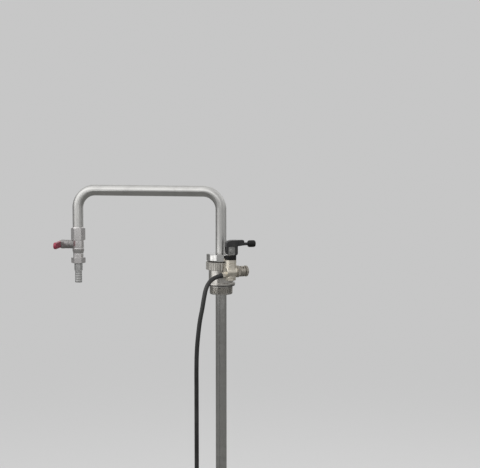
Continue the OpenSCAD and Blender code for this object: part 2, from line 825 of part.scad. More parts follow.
module tap_nozzle() {
    rib_pitch = tail_length / tail_ribs;
    root_r = tail_d / 2 - tail_rib_depth;
    // Place of a rib's edge, as a share of its pitch
    rib_edge = 0.3;
    color("darkgray") at_tap() difference() {
        union() {
            translate([0, 0, nozzle_z])
                cylinder(d = nozzle_thread_d, h = nozzle_washer_t + nozzle_thread_length - face_gap);
            translate([0, 0, tail_z]) hex_bar(nozzle_hex, nozzle_hex_h);
            rotate_extrude() polygon(concat(
                [[0, tail_z], [root_r, tail_z]],
                [for (k = [0 : tail_ribs - 1], p = [[tail_d / 2, rib_edge], [root_r, 1]])
                    [p[0], tail_z - rib_pitch * (k + p[1])]],
                [[0, tail_z - tail_length]]
            ));
        }
        translate([0, 0, tail_z - tail_length - past])
            cylinder(d = nozzle_bore, h = body_drop + tail_length);
    }
}

module tap_nozzle_washer() {
    color("black") at_tap() translate([0, 0, nozzle_z])
        ring(nozzle_hex, nozzle_thread_d + 2 * seat_fit, nozzle_washer_t);
}

module tap_ball() {
    slot_w = tongue_w + 2 * seat_fit;
    color("gainsboro") at_tap() difference() {
        rotate([90, 0, 0]) rotate_extrude() intersection() {
            circle(d = ball_d);
            translate([tap_bore / 2, -ball_d / 2]) square(ball_d);
        }
        translate([-ball_d / 2 - past, -slot_w / 2, -ball_d / 2])
            cube([ball_slot_depth + past, slot_w, ball_d]);
    }
}

module tap_stem() {
    shank_x = ball_d / 2 + face_gap;
    tongue_x = ball_d / 2 - ball_slot_depth + face_gap;
    color("silver") {
        along_stem(shank_x) cylinder(d = tap_stem_d, h = lever_x - shank_x);
        along_stem(tongue_x) translate([-tongue_h / 2, -tongue_w / 2, 0])
            cube([tongue_h, tongue_w, shank_x - tongue_x]);
        along_stem(lever_x) translate([-stem_square / 2, -stem_square / 2, 0])
            cube([stem_square, stem_square, lever_t]);
        along_stem(washer_x) cylinder(d = stem_thread_d, h = stem_end_x - washer_x);
    }
}

module tap_lever() {
    hole = stem_square + 2 * seat_fit;
    tip_y = -lever_length + lever_w / 2;
    color("silver") along_stem(lever_x) linear_extrude(lever_t) difference() {
        union() {
            circle(d = lever_hub_d);
            translate([-lever_w / 2, tip_y]) square([lever_w, -tip_y]);
            translate([0, tip_y]) circle(d = lever_w);
        }
        square(hole, center = true);
    }
}

// Outline of the lever's grip, from its open end to its round tip
module grip_sleeve_outline(inset) {
    w = lever_w + 2 * grip_wall - 2 * inset;
    tip_y = -lever_length + lever_w / 2;
    translate([-w / 2, tip_y]) square([w, -tip_y - grip_start]);
    translate([0, tip_y]) circle(d = w, $fn = 32);
}

module tap_lever_grip() {
    pocket_w = lever_w + 2 * seat_fit;
    full_t = lever_t + 2 * grip_wall;
    color("crimson") along_stem(lever_x - grip_wall) difference() {
        hull() {
            translate([0, 0, edge]) linear_extrude(full_t - 2 * edge) grip_sleeve_outline(0);
            linear_extrude(full_t) grip_sleeve_outline(edge);
        }
        translate([-pocket_w / 2, -lever_length + lever_w / 2, grip_wall - seat_fit])
            cube([pocket_w, lever_length, lever_t + 2 * seat_fit]);
        translate([0, -lever_length + lever_w / 2, grip_wall - seat_fit])
            cylinder(d = pocket_w, h = lever_t + 2 * seat_fit);
        // Room for the hub, the gland nut and the washer's edge
        translate([0, 0, -past]) cylinder(d = 2 * grip_start, h = full_t + 2 * past);
    }
}

module tap_lever_washer() {
    color("silver") along_stem(washer_x) ring(washer_d, stem_thread_d + 2 * seat_fit, washer_t);
}

module tap_lever_nut() {
    color("silver") along_stem(lever_nut_x) difference() {
        hex_bar(lever_nut_hex, lever_nut_h);
        translate([0, 0, -past]) cylinder(d = stem_thread_d + 2 * seat_fit, h = lever_nut_h + 2 * past);
    }
}

module gas_spigot() {
    reach = block_w / 2 - chamber_d / 2 + face_gap;
    length = reach + spigot_neck + spigot_thread_length;
    color("silver") along_spigot(block_w / 2) difference() {
        union() {
            translate([0, 0, -reach]) cylinder(d = spigot_thread_d, h = length - face_gap);
            hex_bar(spigot_hex, spigot_neck);
        }
        translate([0, 0, -reach - past]) cylinder(d = gas_bore, h = length + 2 * past);
    }
}

// Level barrel of the valve's body, along +Z
module cross_barrel() {
    r = cross_d / 2;
    chamfer = 2 * edge;
    rotate_extrude() polygon([
        [0, 0], [r - chamfer, 0], [r, chamfer], [r, block_w - chamfer], [r - chamfer, block_w], [0, block_w]
    ]);
}

module gas_valve_body() {
    color("silver") difference() {
        union() {
            along_relief(-block_w / 2) cross_barrel();
            at_valve() translate([0, 0, block_z]) cylinder(d = foot_boss_d, h = relief_z - block_z);
            at_valve() translate([0, 0, relief_z]) cylinder(d = valve_neck_d, h = bonnet_z - relief_z);
            along_spigot(0) cylinder(d = spigot_boss_d, h = block_w / 2);
            along_inlet(0) cylinder(d = inlet_boss_d, h = inlet_boss_end);
        }
        at_valve() {
            translate([0, 0, valve_seat_z]) cylinder(d = chamber_d, h = bonnet_z - valve_seat_z + past);
            translate([0, 0, block_z]) cylinder(d = orifice_d, h = port_z - block_z);
            translate([0, 0, block_z - past])
                cylinder(d = inlet_chamber_d, h = web_under_z - block_z + past);
        }
        along_inlet(0) cylinder(d = gas_bore, h = inlet_boss_end);
        along_inlet(inlet_boss_end - barb_thread)
            cylinder(d = barb_thread_d + 2 * seat_fit, h = barb_thread + past);
        along_relief(0) cylinder(d = gas_bore, h = block_w);
        along_relief(block_w / 2 - relief_thread)
            cylinder(d = relief_thread_d + 2 * seat_fit, h = relief_thread + past);
        along_spigot(0) cylinder(d = gas_bore, h = block_w);
        along_spigot(chamber_d / 2 - face_gap) cylinder(d = spigot_thread_d + 2 * seat_fit, h = block_w);
    }
}

module gas_valve_plug() {
    color("silver") at_valve() {
        translate([0, 0, block_z - plug_hex_h]) rotate(30) hex_bar(plug_hex, plug_hex_h);
        translate([0, 0, block_z - hex_chamfer])
            cylinder(d = inlet_chamber_d - 2 * seat_fit, h = plug_thread + hex_chamfer);
    }
}

module gas_valve_bonnet() {
    bore_r = gas_stem_d / 2 + run_fit;
    thread_r = chamber_d / 2 - seat_fit;
    pocket_r = spring_pocket_d / 2;
    neck_r = bonnet_neck_d / 2;
    groove_r = stem_seal_d / 2 + seat_fit;
    top_z = valve_collar_top - face_gap;
    color("silver") at_valve() rotate_extrude() polygon([
        [pocket_r, bonnet_z - bonnet_thread], [thread_r, bonnet_z - bonnet_thread], [thread_r, bonnet_z],
        [valve_neck_d / 2, bonnet_z], [valve_neck_d / 2, valve_collar_z], [neck_r, valve_collar_z],
        [neck_r, top_z], [bore_r, top_z],
        [bore_r, stem_seal_z + stem_seal_h + face_gap], [groove_r, stem_seal_z + stem_seal_h + face_gap],
        [groove_r, stem_seal_z], [bore_r, stem_seal_z],
        [bore_r, spring_top_z], [pocket_r, spring_top_z]
    ]);
}

module gas_valve_collar() {
    color("black") at_valve() translate([0, 0, valve_collar_z])
        turned_ring(valve_neck_d, bonnet_neck_d + 2 * seat_fit, valve_collar_h, edge);
}

module gas_stem_seal() {
    color("black") at_valve() translate([0, 0, stem_seal_z])
        ring(stem_seal_d, gas_stem_d + 2 * run_fit, stem_seal_h);
}

module gas_valve_spring() {
    color("gray") at_valve() translate([0, 0, spring_z])
        coil_spring(valve_spring_d, valve_spring_wire, spring_top_z - spring_z, valve_spring_turns);
}

module gas_valve_stem() {
    // Height of the neck's foot over the lever's lowest face
    neck_rise = 2;
    neck_drop = cam_low - neck_rise;
    color("gainsboro") difference() {
        union() {
            at_valve() {
                translate([0, 0, stem_foot_z]) cylinder(d = stem_foot_d, h = stem_foot_t);
                translate([0, 0, valve_seat_z + face_gap]) cylinder(d = disc_pin_d, h = disc_t);
                translate([0, 0, spring_z]) cylinder(d = gas_stem_d, h = pin_z - spring_z);
            }
            at_pin() {
                rotate([90, 0, 0]) cylinder(d = stem_head_d, h = stem_head_w, center = true);
                translate([-stem_neck_w / 2, -stem_head_w / 2, -neck_drop])
                    cube([stem_neck_w, stem_head_w, neck_drop]);
            }
        }
        at_pin() rotate([90, 0, 0]) cylinder(d = pin_d + 2 * run_fit, h = lever_head_w, center = true);
    }
}

module gas_valve_disc() {
    color("black") at_valve() translate([0, 0, valve_seat_z])
        ring(disc_d, disc_pin_d + 2 * seat_fit, disc_t);
}

// Side view of the gas lever from its pin: the cam, the head and the arm
module lever_side() {
    arm_top = arm_rise + arm_t / 2;
    arm_under = arm_rise - arm_t / 2;
    back = cam_low + cam_lift;
    round_r = 6;
    fillet = 2;
    polygon(concat(
        [for (k = [0 : cam_steps]) cam_point(lever_turn * k / cam_steps)],
        [for (a = [180 : -15 : 90]) [-back + round_r, head_top - round_r] + round_r * [cos(a), sin(a)]],
        [[0, shoulder_top], [shoulder_end - fillet, shoulder_top], [shoulder_end, shoulder_top - fillet],
         [shoulder_end, arm_top], [knob_start, arm_top], [knob_start, arm_under], [shoulder_end, arm_under],
         [head_front + fillet, shoulder_under], [head_front, shoulder_under - fillet]],
        [for (a = [0 : -15 : -90]) [head_front - round_r, round_r - cam_low] + round_r * [cos(a), sin(a)]]
    ));
}

// Plan view of the gas lever: the wide head and the narrow arm
module lever_plan() {
    back = cam_low + cam_lift;
    translate([-back - past, -lever_head_w / 2]) square([back + past + head_front, lever_head_w]);
    translate([0, -arm_w / 2]) square([knob_start, arm_w]);
}

module gas_lever() {
    reach = cam_low + cam_lift + past;
    tall = reach + shoulder_top + past;
    color("black") at_pin() {
        difference() {
            intersection() {
                rotate([90, 0, 0]) linear_extrude(lever_head_w + 2 * past, center = true) lever_side();
                translate([0, 0, -reach]) linear_extrude(tall) lever_plan();
            }
            rotate([90, 0, 0])
                cylinder(d = pin_d + 2 * seat_fit, h = lever_head_w + 2 * past, center = true);
            rotate([90, 0, 0]) cylinder(r = lever_slot_r, h = lever_slot_w, center = true);
            translate([-reach, -lever_slot_w / 2, -reach])
                cube([reach, lever_slot_w, reach + lever_slot_r]);
            translate([-past, -lever_slot_w / 2, -reach]) cube([lever_slot_r + past, lever_slot_w, reach]);
        }
        translate([knob_start - past, 0, arm_rise]) rotate([0, 90, 0])
            cylinder(d = stub_d, h = stub_length + past);
    }
}

// Outline of the plate that keeps the pin, with its corners cut
module keeper_outline() {
    cut = 3;
    x = keeper_w / 2;
    y = keeper_h / 2;
    polygon([
        [-x + cut, -y], [x - cut, -y], [x, -y + cut], [x, y - cut],
        [x - cut, y], [-x + cut, y], [-x, y - cut], [-x, -y + cut]
    ]);
}

module gas_lever_pin() {
    color("gainsboro") at_pin() rotate([90, 0, 0]) {
        cylinder(d = pin_d, h = lever_head_w, center = true);
        for (side = [0, 180]) rotate([0, side, 0]) translate([0, 0, lever_head_w / 2]) {
            linear_extrude(keeper_t) keeper_outline();
            translate([0, 0, keeper_t])
                cylinder(d1 = pin_head_d, d2 = pin_head_d - 2 * edge, h = pin_head_t);
        }
    }
}

module gas_lever_knob() {
    bore_r = stub_d / 2 + seat_fit;
    bevel = 2.5;
    crown = 4;
    color("black") at_pin() translate([knob_start, 0, arm_rise]) rotate([0, 90, 0])
        rotate_extrude() polygon(concat(
            [[bore_r, 0], [knob_d / 2 - bevel, 0], [knob_d / 2, bevel]],
            [for (a = [0 : 15 : 90]) [knob_d / 2 - crown, knob_length - crown] + crown * [cos(a), sin(a)]],
            [[0, knob_length], [0, stub_length + face_gap], [bore_r, stub_length + face_gap]]
        ));
}

module relief_body() {
    groove = 1.5;
    barrel_r = relief_d / 2;
    vent_x = relief_hex_h + relief_length / 2;
    color("silver") along_relief(block_w / 2) difference() {
        union() {
            translate([0, 0, -relief_thread]) cylinder(d = relief_thread_d, h = relief_thread);
            hex_bar(relief_hex, relief_hex_h);
            translate([0, 0, relief_hex_h]) rotate_extrude() polygon([
                [0, 0], [barrel_r - groove, 0], [barrel_r - groove, groove], [barrel_r, 2 * groove],
                [barrel_r, relief_length - 2 * groove], [barrel_r - groove, relief_length - groove],
                [barrel_r - groove, relief_length], [0, relief_length]
            ]);
        }
        translate([0, 0, -relief_thread - past])
            cylinder(d = gas_bore, h = relief_thread + relief_seat_t + 2 * past);
        translate([0, 0, relief_seat_t]) cylinder(d = relief_chamber_d, h = relief_hex_h + relief_length);
        for (k = [0 : 3]) rotate(45 + 90 * k) translate([0, 0, vent_x]) rotate([90, 0, 0])
            cylinder(d = relief_vent_d, h = relief_d);
    }
}

module relief_bush() {
    color("silver") along_relief(relief_bush_x)
        ring(relief_chamber_d - 2 * seat_fit, relief_stem_d + 2 * run_fit, relief_bush_h);
}

module relief_spring() {
    length = relief_bush_x - relief_spring_x;
    color("gray") along_relief(relief_spring_x)
        coil_spring(relief_spring_d, relief_spring_wire, length, relief_spring_turns);
}

module relief_stem() {
    end_x = relief_cap_x + relief_cap_h - cap_crown;
    color("gainsboro") {
        along_relief(relief_flange_x) cylinder(d = relief_flange_d, h = relief_flange_t);
        along_relief(relief_spring_x) cylinder(d = relief_stem_d, h = end_x - relief_spring_x);
    }
}

module relief_disc() {
    color("black") along_relief(relief_seat_x) cylinder(d = relief_disc_d, h = relief_disc_t);
}

module relief_cap() {
    groove_r = 1.2;
    rim_h = relief_cap_h - cap_crown;
    crown_r = relief_cap_d / 2 - cap_crown;
    color("silver") along_relief(relief_cap_x) difference() {
        turned_ring(relief_cap_d, relief_stem_d + 2 * seat_fit, rim_h, edge);
        for (k = [0 : relief_cap_grooves - 1]) rotate(360 * k / relief_cap_grooves)
            translate([relief_cap_d / 2 + groove_r / 2, 0, -past])
                cylinder(r = groove_r, h = relief_cap_h, $fn = 24);
    }
    color("silver") along_relief(relief_cap_x + rim_h)
        rotate_extrude() polygon([[0, 0], [crown_r, 0], [crown_r - cap_crown, cap_crown], [0, cap_crown]]);
}

module gas_barb() {
    ribs = 3;
    rib_depth = 0.5;
    // Place of a rib's edge, as a share of its pitch
    rib_edge = 0.3;
    rib_pitch = barb_tail / ribs;
    peak_r = barb_tail_d / 2;
    root_r = peak_r - rib_depth;
    color("silver") along_inlet(inlet_boss_end) difference() {
        union() {
            translate([0, 0, -barb_thread]) cylinder(d = barb_thread_d, h = barb_thread);
            hex_bar(barb_hex, barb_hex_h);
            translate([0, 0, barb_hex_h]) rotate_extrude() polygon(concat(
                [[0, 0], [root_r, 0]],
                [for (k = [0 : ribs - 1], p = [[peak_r, rib_edge], [root_r, 1]])
                    [p[0], rib_pitch * (k + p[1])]],
                [[0, barb_tail]]
            ));
        }
        translate([0, 0, -barb_thread - past])
            cylinder(d = barb_bore_d, h = barb_thread + barb_hex_h + barb_tail + 2 * past);
    }
}

module hose_ferrule() {
    color("dimgray") along_inlet(barb_tail_x)
        turned_ring(ferrule_d, barb_tail_d + 2 * seat_fit, ferrule_length, edge);
}

module gas_hose() {
    side = cross(inlet_dir, [0, 0, -1]);
    points = [for (i = [0 : len(hose_route) - 1])
        each ring_points(hose_route[i], heading(hose_route, i, inlet_dir), side, hose_d / 2, hose_sides)];
    color("black") polyhedron(points, tube_faces(len(hose_route), hose_sides));
}

module hose_end_ferrule() {
    color("dimgray") translate(hose_end - [0, 0, end_ferrule_length])
        turned_ring(ferrule_d, 0, end_ferrule_length, edge);
}

module hose_plug() {
    hex_h = 8;
    nose_r = hose_plug_d / 2;
    // Groove that the coupling's balls hold, with sloping sides
    groove_z = 5;
    groove_h = 5.5;
    groove = 1.5;
    color("silver") translate(hose_end - [0, 0, end_ferrule_length]) rotate([180, 0, 0]) {
        hex_bar(hose_plug_hex, hex_h);
        translate([0, 0, hex_h]) difference() {
            rotate_extrude() polygon([
                [0, 0], [nose_r, 0], [nose_r, groove_z], [nose_r - groove, groove_z + groove],
                [nose_r - groove, groove_z + groove_h - groove], [nose_r, groove_z + groove_h],
                [nose_r, hose_plug_length - groove], [nose_r - groove, hose_plug_length],
                [0, hose_plug_length]
            ]);
            translate([0, 0, past]) cylinder(d = barb_bore_d, h = hose_plug_length);
        }
    }
}

head_body();
bung_gasket();
dip_tube();
dip_tube_seal();
dip_tube_foot();
union_seal();
union_nut();
riser_collar();
arch_tube();
tap_socket();
tap_body();
tap_seat_upper();
tap_seat_lower();
tap_stem_packing();
tap_gland_nut();
tap_nozzle();
tap_nozzle_washer();
tap_ball();
tap_stem();
tap_lever();
tap_lever_grip();
tap_lever_washer();
tap_lever_nut();
gas_spigot();
gas_valve_body();
gas_valve_plug();
gas_valve_bonnet();
gas_valve_collar();
gas_stem_seal();
gas_valve_spring();
gas_valve_stem();
gas_valve_disc();
gas_lever();
gas_lever_pin();
gas_lever_knob();
relief_body();
relief_bush();
relief_spring();
relief_stem();
relief_disc();
relief_cap();
gas_barb();
hose_ferrule();
gas_hose();
hose_end_ferrule();
hose_plug();
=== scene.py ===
"""Dresses the siphon head: turned and milled metal, moulded levers, the gas hose and a pale studio."""

import json
import math

import bmesh
import bpy
from bmesh.types import BMEdge, BMVert
from bpy.props import FloatProperty, FloatVectorProperty, IntProperty, PointerProperty
from bpy.types import Operator, Panel, PropertyGroup
from mathutils import Matrix, Vector


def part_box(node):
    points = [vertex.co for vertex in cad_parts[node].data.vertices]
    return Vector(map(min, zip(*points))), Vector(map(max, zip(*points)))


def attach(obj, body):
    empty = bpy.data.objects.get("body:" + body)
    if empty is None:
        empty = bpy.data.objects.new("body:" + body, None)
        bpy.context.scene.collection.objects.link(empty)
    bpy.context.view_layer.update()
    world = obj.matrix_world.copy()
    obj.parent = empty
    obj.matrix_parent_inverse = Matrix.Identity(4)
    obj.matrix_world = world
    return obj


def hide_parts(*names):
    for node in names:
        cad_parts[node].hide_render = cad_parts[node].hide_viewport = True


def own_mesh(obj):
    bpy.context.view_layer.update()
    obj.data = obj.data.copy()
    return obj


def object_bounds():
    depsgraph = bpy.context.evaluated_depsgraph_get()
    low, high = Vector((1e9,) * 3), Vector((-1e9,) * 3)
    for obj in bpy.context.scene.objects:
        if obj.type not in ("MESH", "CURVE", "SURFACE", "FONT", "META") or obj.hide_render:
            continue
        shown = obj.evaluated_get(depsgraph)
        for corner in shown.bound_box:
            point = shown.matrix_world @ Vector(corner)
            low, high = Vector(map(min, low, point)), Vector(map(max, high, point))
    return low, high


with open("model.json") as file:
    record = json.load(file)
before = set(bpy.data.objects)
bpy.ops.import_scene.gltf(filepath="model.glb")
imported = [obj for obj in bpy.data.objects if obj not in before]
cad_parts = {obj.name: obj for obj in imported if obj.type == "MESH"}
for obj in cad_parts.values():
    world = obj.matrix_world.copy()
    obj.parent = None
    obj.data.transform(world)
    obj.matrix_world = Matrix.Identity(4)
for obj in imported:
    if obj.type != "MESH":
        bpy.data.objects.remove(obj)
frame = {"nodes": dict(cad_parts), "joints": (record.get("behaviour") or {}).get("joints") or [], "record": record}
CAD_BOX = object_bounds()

bl_info = {
    "name": "Siphon Head",
    "version": (1, 0, 0),
    "blender": (4, 5, 0),
    "location": "3D View > Sidebar > Siphon",
    "description": "Builds the visible pieces of a siphon head with spout, tap and gas valve",
    "category": "Object",
}

# Shapes are drawn in millimetres, and the frame is in metres
MM = 0.001
JOINTS = {joint["name"]: joint for joint in frame["joints"]}
SLOTS = {row["node"]: row["material_slot"] for row in frame["record"]["subparts"]}


def low(name, axis=2):
    """Lowest reach of a node of the frame on one axis, in millimetres."""
    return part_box(name)[0][axis] / MM


def high(name, axis=2):
    """Highest reach of a node of the frame on one axis, in millimetres."""
    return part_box(name)[1][axis] / MM


def quarter(axis, turns=1):
    """Quarter turns about an axis."""
    return Matrix.Rotation(turns * math.pi / 2, 4, axis)


def at(x, y, z):
    """Shift to a place."""
    return Matrix.Translation((x, y, z))


BALL = Vector(JOINTS["tap_lever_turn"]["pos_m"])
PIN = Vector(JOINTS["gas_lever_flip"]["pos_m"])
RELIEF_WAY = Vector(JOINTS["relief_lift"]["axis"])
VALVE_TURN = math.atan2(RELIEF_WAY.y, RELIEF_WAY.x)
LEVER_AXIS = Vector(JOINTS["gas_lever_flip"]["axis"])
LEVER_TURN = math.atan2(LEVER_AXIS.x, -LEVER_AXIS.y)

# Places of the pieces' own frames: a shape's +Z is its turning axis
HEAD = Matrix.Scale(MM, 4)
TAP = Matrix.Translation(BALL) @ HEAD
STEM = TAP @ quarter("Y", -1)
VALVE = at(PIN.x, PIN.y, 0) @ Matrix.Rotation(VALVE_TURN, 4, "Z") @ HEAD
PIVOT = Matrix.Translation(PIN) @ Matrix.Rotation(LEVER_TURN, 4, "Z") @ HEAD
CROSS_PIN = PIVOT @ quarter("X")


class SiphonSizes(PropertyGroup):
    """Sizes that a user would change."""

    tube: FloatProperty(name="Tube", description="Outside diameter of the spout's tube",
                        default=(high("arch_tube", 1) - low("arch_tube", 1)) * MM, unit="LENGTH")
    wall: FloatProperty(name="Wall", description="Wall of the tubes", default=0.0015, unit="LENGTH")
    bend: FloatProperty(name="Bend", description="Radius of the bends at the tube's middle",
                        default=0.046, unit="LENGTH")
    hose: FloatProperty(name="Hose", description="Outside diameter of the gas hose",
                        default=0.011, unit="LENGTH")
    flutes: IntProperty(name="Flutes", description="Flutes round the head's grip ring", default=36)
    ribs: IntProperty(name="Ribs", description="Ribs on the tap's tail", default=5)
    knurls: IntProperty(name="Knurls", description="Grooves round the valve's black collar", default=40)
    cap_grooves: IntProperty(name="Cap grooves", description="Grooves round the relief cap", default=20)


def hue(name, description, default):
    """Setting for a colour."""
    return FloatVectorProperty(name=name, description=description, subtype="COLOR", default=default)


class SiphonColours(PropertyGroup):
    """Colours that a user would change."""

    steel: hue("Steel", "Polished steel", (0.60, 0.595, 0.58))
    satin: hue("Satin steel", "Turned and tumbled steel", (0.50, 0.485, 0.455))
    ring: hue("Grip ring", "Tumbled steel of the fluted ring", (0.42, 0.405, 0.375))
    brass: hue("Plated brass", "Nickel plate on brass", (0.70, 0.655, 0.57))
    relief: hue("Relief valve", "Dull plate of the relief valve", (0.44, 0.41, 0.36))
    plastic: hue("Black plastic", "Moulded gas lever", (0.016, 0.016, 0.017))
    grip: hue("Grip", "Dipped grip of the tap's lever", (0.30, 0.028, 0.06))
    tap: hue("Tap", "Bright plate of the tap", (0.74, 0.72, 0.715))
    gland: hue("Gland", "Dull metal of the tap's boss and gland nut", (0.4, 0.39, 0.385))
    tail: hue("Tail", "Metal of the tap's tail", (0.56, 0.56, 0.555))
    hose: hue("Hose", "Gas hose", (0.014, 0.014, 0.014))
    backdrop: hue("Backdrop", "Floor and background", (0.57, 0.57, 0.57))


def sizes():
    """The scene's sizes."""
    return bpy.context.scene.siphon_sizes


def colours():
    """The scene's colours."""
    return bpy.context.scene.siphon_colours


# Shapes

def turned(outline):
    """Solid of revolution about Z from a closed outline of (radius, height) points."""
    shape = bmesh.new()
    points = [shape.verts.new((radius, 0, height)) for radius, height in outline]
    edges = []
    for start, end in zip(points, points[1:] + points[:1]):
        if max(start.co.x, end.co.x) > 1e-6:
            edges.append(shape.edges.new((start, end)))
    bmesh.ops.spin(shape, geom=points + edges, cent=(0, 0, 0), axis=(0, 0, 1),
                   angle=2 * math.pi, steps=96, use_merge=True)
    bmesh.ops.remove_doubles(shape, verts=shape.verts, dist=1e-4)
    bmesh.ops.dissolve_degenerate(shape, dist=1e-4, edges=shape.edges)
    bmesh.ops.recalc_face_normals(shape, faces=shape.faces)
    return shape


def groove(radius, bottom, top, depth):
    """Points of a groove with sloped sides, for an outline that runs up."""
    return [(radius, bottom), (radius - depth, bottom + depth), (radius - depth, top - depth),
            (radius, top)]


def ring(inner, outer, bottom, top, chamfer):
    """Ring between two radii, its outer edges chamfered."""
    return turned([(inner, bottom), (outer - chamfer, bottom), (outer, bottom + chamfer),
                   (outer, top - chamfer), (outer - chamfer, top), (inner, top)])


def rod(radius, bottom, top, steps=64):
    """Plain round bar along Z."""
    shape = bmesh.new()
    bmesh.ops.create_cone(shape, cap_ends=True, segments=steps, radius1=radius, radius2=radius,
                          depth=top - bottom)
    bmesh.ops.translate(shape, verts=shape.verts, vec=(0, 0, (top + bottom) / 2))
    return shape


def block(lowest, highest):
    """Box between two corners."""
    shape = bmesh.new()
    bmesh.ops.create_cube(shape, size=1)
    span = Vector(highest) - Vector(lowest)
    bmesh.ops.scale(shape, verts=shape.verts, vec=span)
    bmesh.ops.translate(shape, verts=shape.verts, vec=(Vector(lowest) + Vector(highest)) / 2)
    return shape


def hexagon(flats, bottom, top, chamfer=1.2, turn=0):
    """Hexagon bar with turned corners at both ends, and turned about Z by some degrees."""
    corner = flats / math.cos(math.radians(30)) / 2
    shape = rod(corner, bottom, top, 6)
    bmesh.ops.rotate(shape, verts=shape.verts, matrix=Matrix.Rotation(math.radians(30 + turn), 3, "Z"))
    turning = turned([(0, bottom), (corner - chamfer, bottom), (corner, bottom + chamfer / 2),
                      (corner, top - chamfer / 2), (corner - chamfer, top), (0, top)])
    return carved(shape, turning, "INTERSECT")


def moved(shape, place):
    """The shape, put in another place."""
    bmesh.ops.transform(shape, matrix=place, verts=shape.verts)
    return shape


def together(shapes):
    """Several shapes that do not touch, as one."""
    whole = bmesh.new()
    for shape in shapes:
        mesh = bpy.data.meshes.new("scrap")
        shape.to_mesh(mesh)
        shape.free()
        whole.from_mesh(mesh)
        bpy.data.meshes.remove(mesh)
    return whole


def round_about(make, count, start=0.0):
    """Copies of a shape set evenly about Z, as one."""
    turn = 2 * math.pi / count
    return together([moved(make(), Matrix.Rotation(start + k * turn, 4, "Z")) for k in range(count)])


def carved(shape, tool, operation="DIFFERENCE"):
    """Cuts, joins or intersects two closed shapes."""
    pair = []
    for part in (shape, tool):
        mesh = bpy.data.meshes.new("scrap")
        part.to_mesh(mesh)
        part.free()
        obj = bpy.data.objects.new("scrap", mesh)
        bpy.context.scene.collection.objects.link(obj)
        pair.append(obj)
    step = pair[0].modifiers.new("carve", "BOOLEAN")
    step.operation = operation
    step.object = pair[1]
    step.solver = "EXACT"
    result = bmesh.new()
    result.from_object(pair[0], bpy.context.evaluated_depsgraph_get())
    for obj in pair:
        mesh = obj.data
        bpy.data.objects.remove(obj)
        bpy.data.meshes.remove(mesh)
    bmesh.ops.remove_doubles(result, verts=result.verts, dist=1e-4)
    bmesh.ops.dissolve_degenerate(result, dist=1e-4, edges=result.edges)
    if not result.faces:
        raise RuntimeError("a cut left nothing of its piece")
    return result


def joined(shape, other):
    """Two closed shapes as one."""
    return carved(shape, other, "UNION")


def only(kind, items):
    """The elements of one kind among several."""
    return [item for item in items if isinstance(item, kind)]


def edges_along(shape, axis):
    """Edges of a shape that run along an axis."""
    return [edge for edge in shape.edges if abs(edge.verts[0].co[axis] - edge.verts[1].co[axis]) > 1]


def rounded(shape, edges, width, segments, clamp=False):
    """Rounds some edges of a shape."""
    bmesh.ops.bevel(shape, geom=edges, offset=width, offset_type="OFFSET", segments=segments, profile=0.5,
                    affect="EDGES", clamp_overlap=clamp, material=-1)
    return shape


def softened(shape, width, segments=2, sharp=30):
    """Rounds the outside edges that are sharper than an angle in degrees."""
    limit = math.radians(sharp)
    edges = [edge for edge in shape.edges
             if edge.is_manifold and edge.calc_face_angle_signed(0) > limit]
    return rounded(shape, edges, width, segments, True)


def prism(outline, width):
    """Solid of some width across Y from an outline of (x, z) points."""
    shape = bmesh.new()
    face = shape.faces.new([shape.verts.new((x, -width / 2, z)) for x, z in outline])
    grown = bmesh.ops.extrude_face_region(shape, geom=[face])["geom"]
    bmesh.ops.translate(shape, verts=only(BMVert, grown), vec=(0, width, 0))
    bmesh.ops.recalc_face_normals(shape, faces=shape.faces)
    return shape


def helix(outline, pitch, turns):
    """Ridge wound about Z from a closed outline of (radius, height) points."""
    steps = 48
    shape = bmesh.new()
    points = [shape.verts.new((radius, 0, height)) for radius, height in outline]
    face = shape.faces.new(points)
    made = bmesh.ops.spin(shape, geom=points + list(face.edges), cent=(0, 0, 0), axis=(0, 0, 1),
                          dvec=(0, 0, pitch / steps), angle=2 * math.pi * turns, steps=int(turns * steps))
    shape.faces.new(only(BMVert, made["geom_last"]))
    bmesh.ops.recalc_face_normals(shape, faces=shape.faces)
    return shape


def coil(radius, gauge, bottom, top, turns):
    """Compression spring of round wire of some gauge, wound evenly between two heights."""
    steps = 32
    rise = (top - bottom - gauge) / turns
    shape = bmesh.new()
    bmesh.ops.create_circle(shape, cap_ends=True, segments=12, radius=gauge / 2)
    bmesh.ops.rotate(shape, verts=shape.verts, matrix=Matrix.Rotation(math.radians(90), 3, "X"))
    bmesh.ops.translate(shape, verts=shape.verts, vec=(radius, 0, bottom + gauge / 2))
    made = bmesh.ops.spin(shape, geom=shape.verts[:] + shape.edges[:], cent=(0, 0, 0), axis=(0, 0, 1),
                          dvec=(0, 0, rise / steps), angle=2 * math.pi * turns, steps=steps * turns)
    bmesh.ops.contextual_create(shape, geom=only(BMEdge, made["geom_last"]))
    bmesh.ops.recalc_face_normals(shape, faces=shape.faces)
    return shape


def piece(name, shape, place, body, nodes, finish=None, crease=40):
    """Makes a finished shape a piece of the model that stands for some of the frame's nodes."""
    moved(shape, place)
    mesh = bpy.data.meshes.new(name)
    shape.to_mesh(mesh)
    shape.free()
    mesh.shade_smooth()
    mesh.set_sharp_from_angle(angle=math.radians(crease))
    slot = SLOTS[nodes[0]]
    mesh.materials.append(finish or finish_of(slot))
    obj = bpy.data.objects.new(name, mesh)
    bpy.context.scene.collection.objects.link(obj)
    obj.modifiers.new("even shading", "WEIGHTED_NORMAL").keep_sharp = True
    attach(obj, body)
    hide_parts(*nodes)
    return obj


# Finishes

def node(tree, kind, inputs=None, **settings):
    """Adds a shader node, and sets its properties and then the values of its inputs."""
    made = tree.nodes.new(kind)
    for key, value in settings.items():
        setattr(made, key, value)
    for key, value in (inputs or {}).items():
        made.inputs[key].default_value = value
    return made


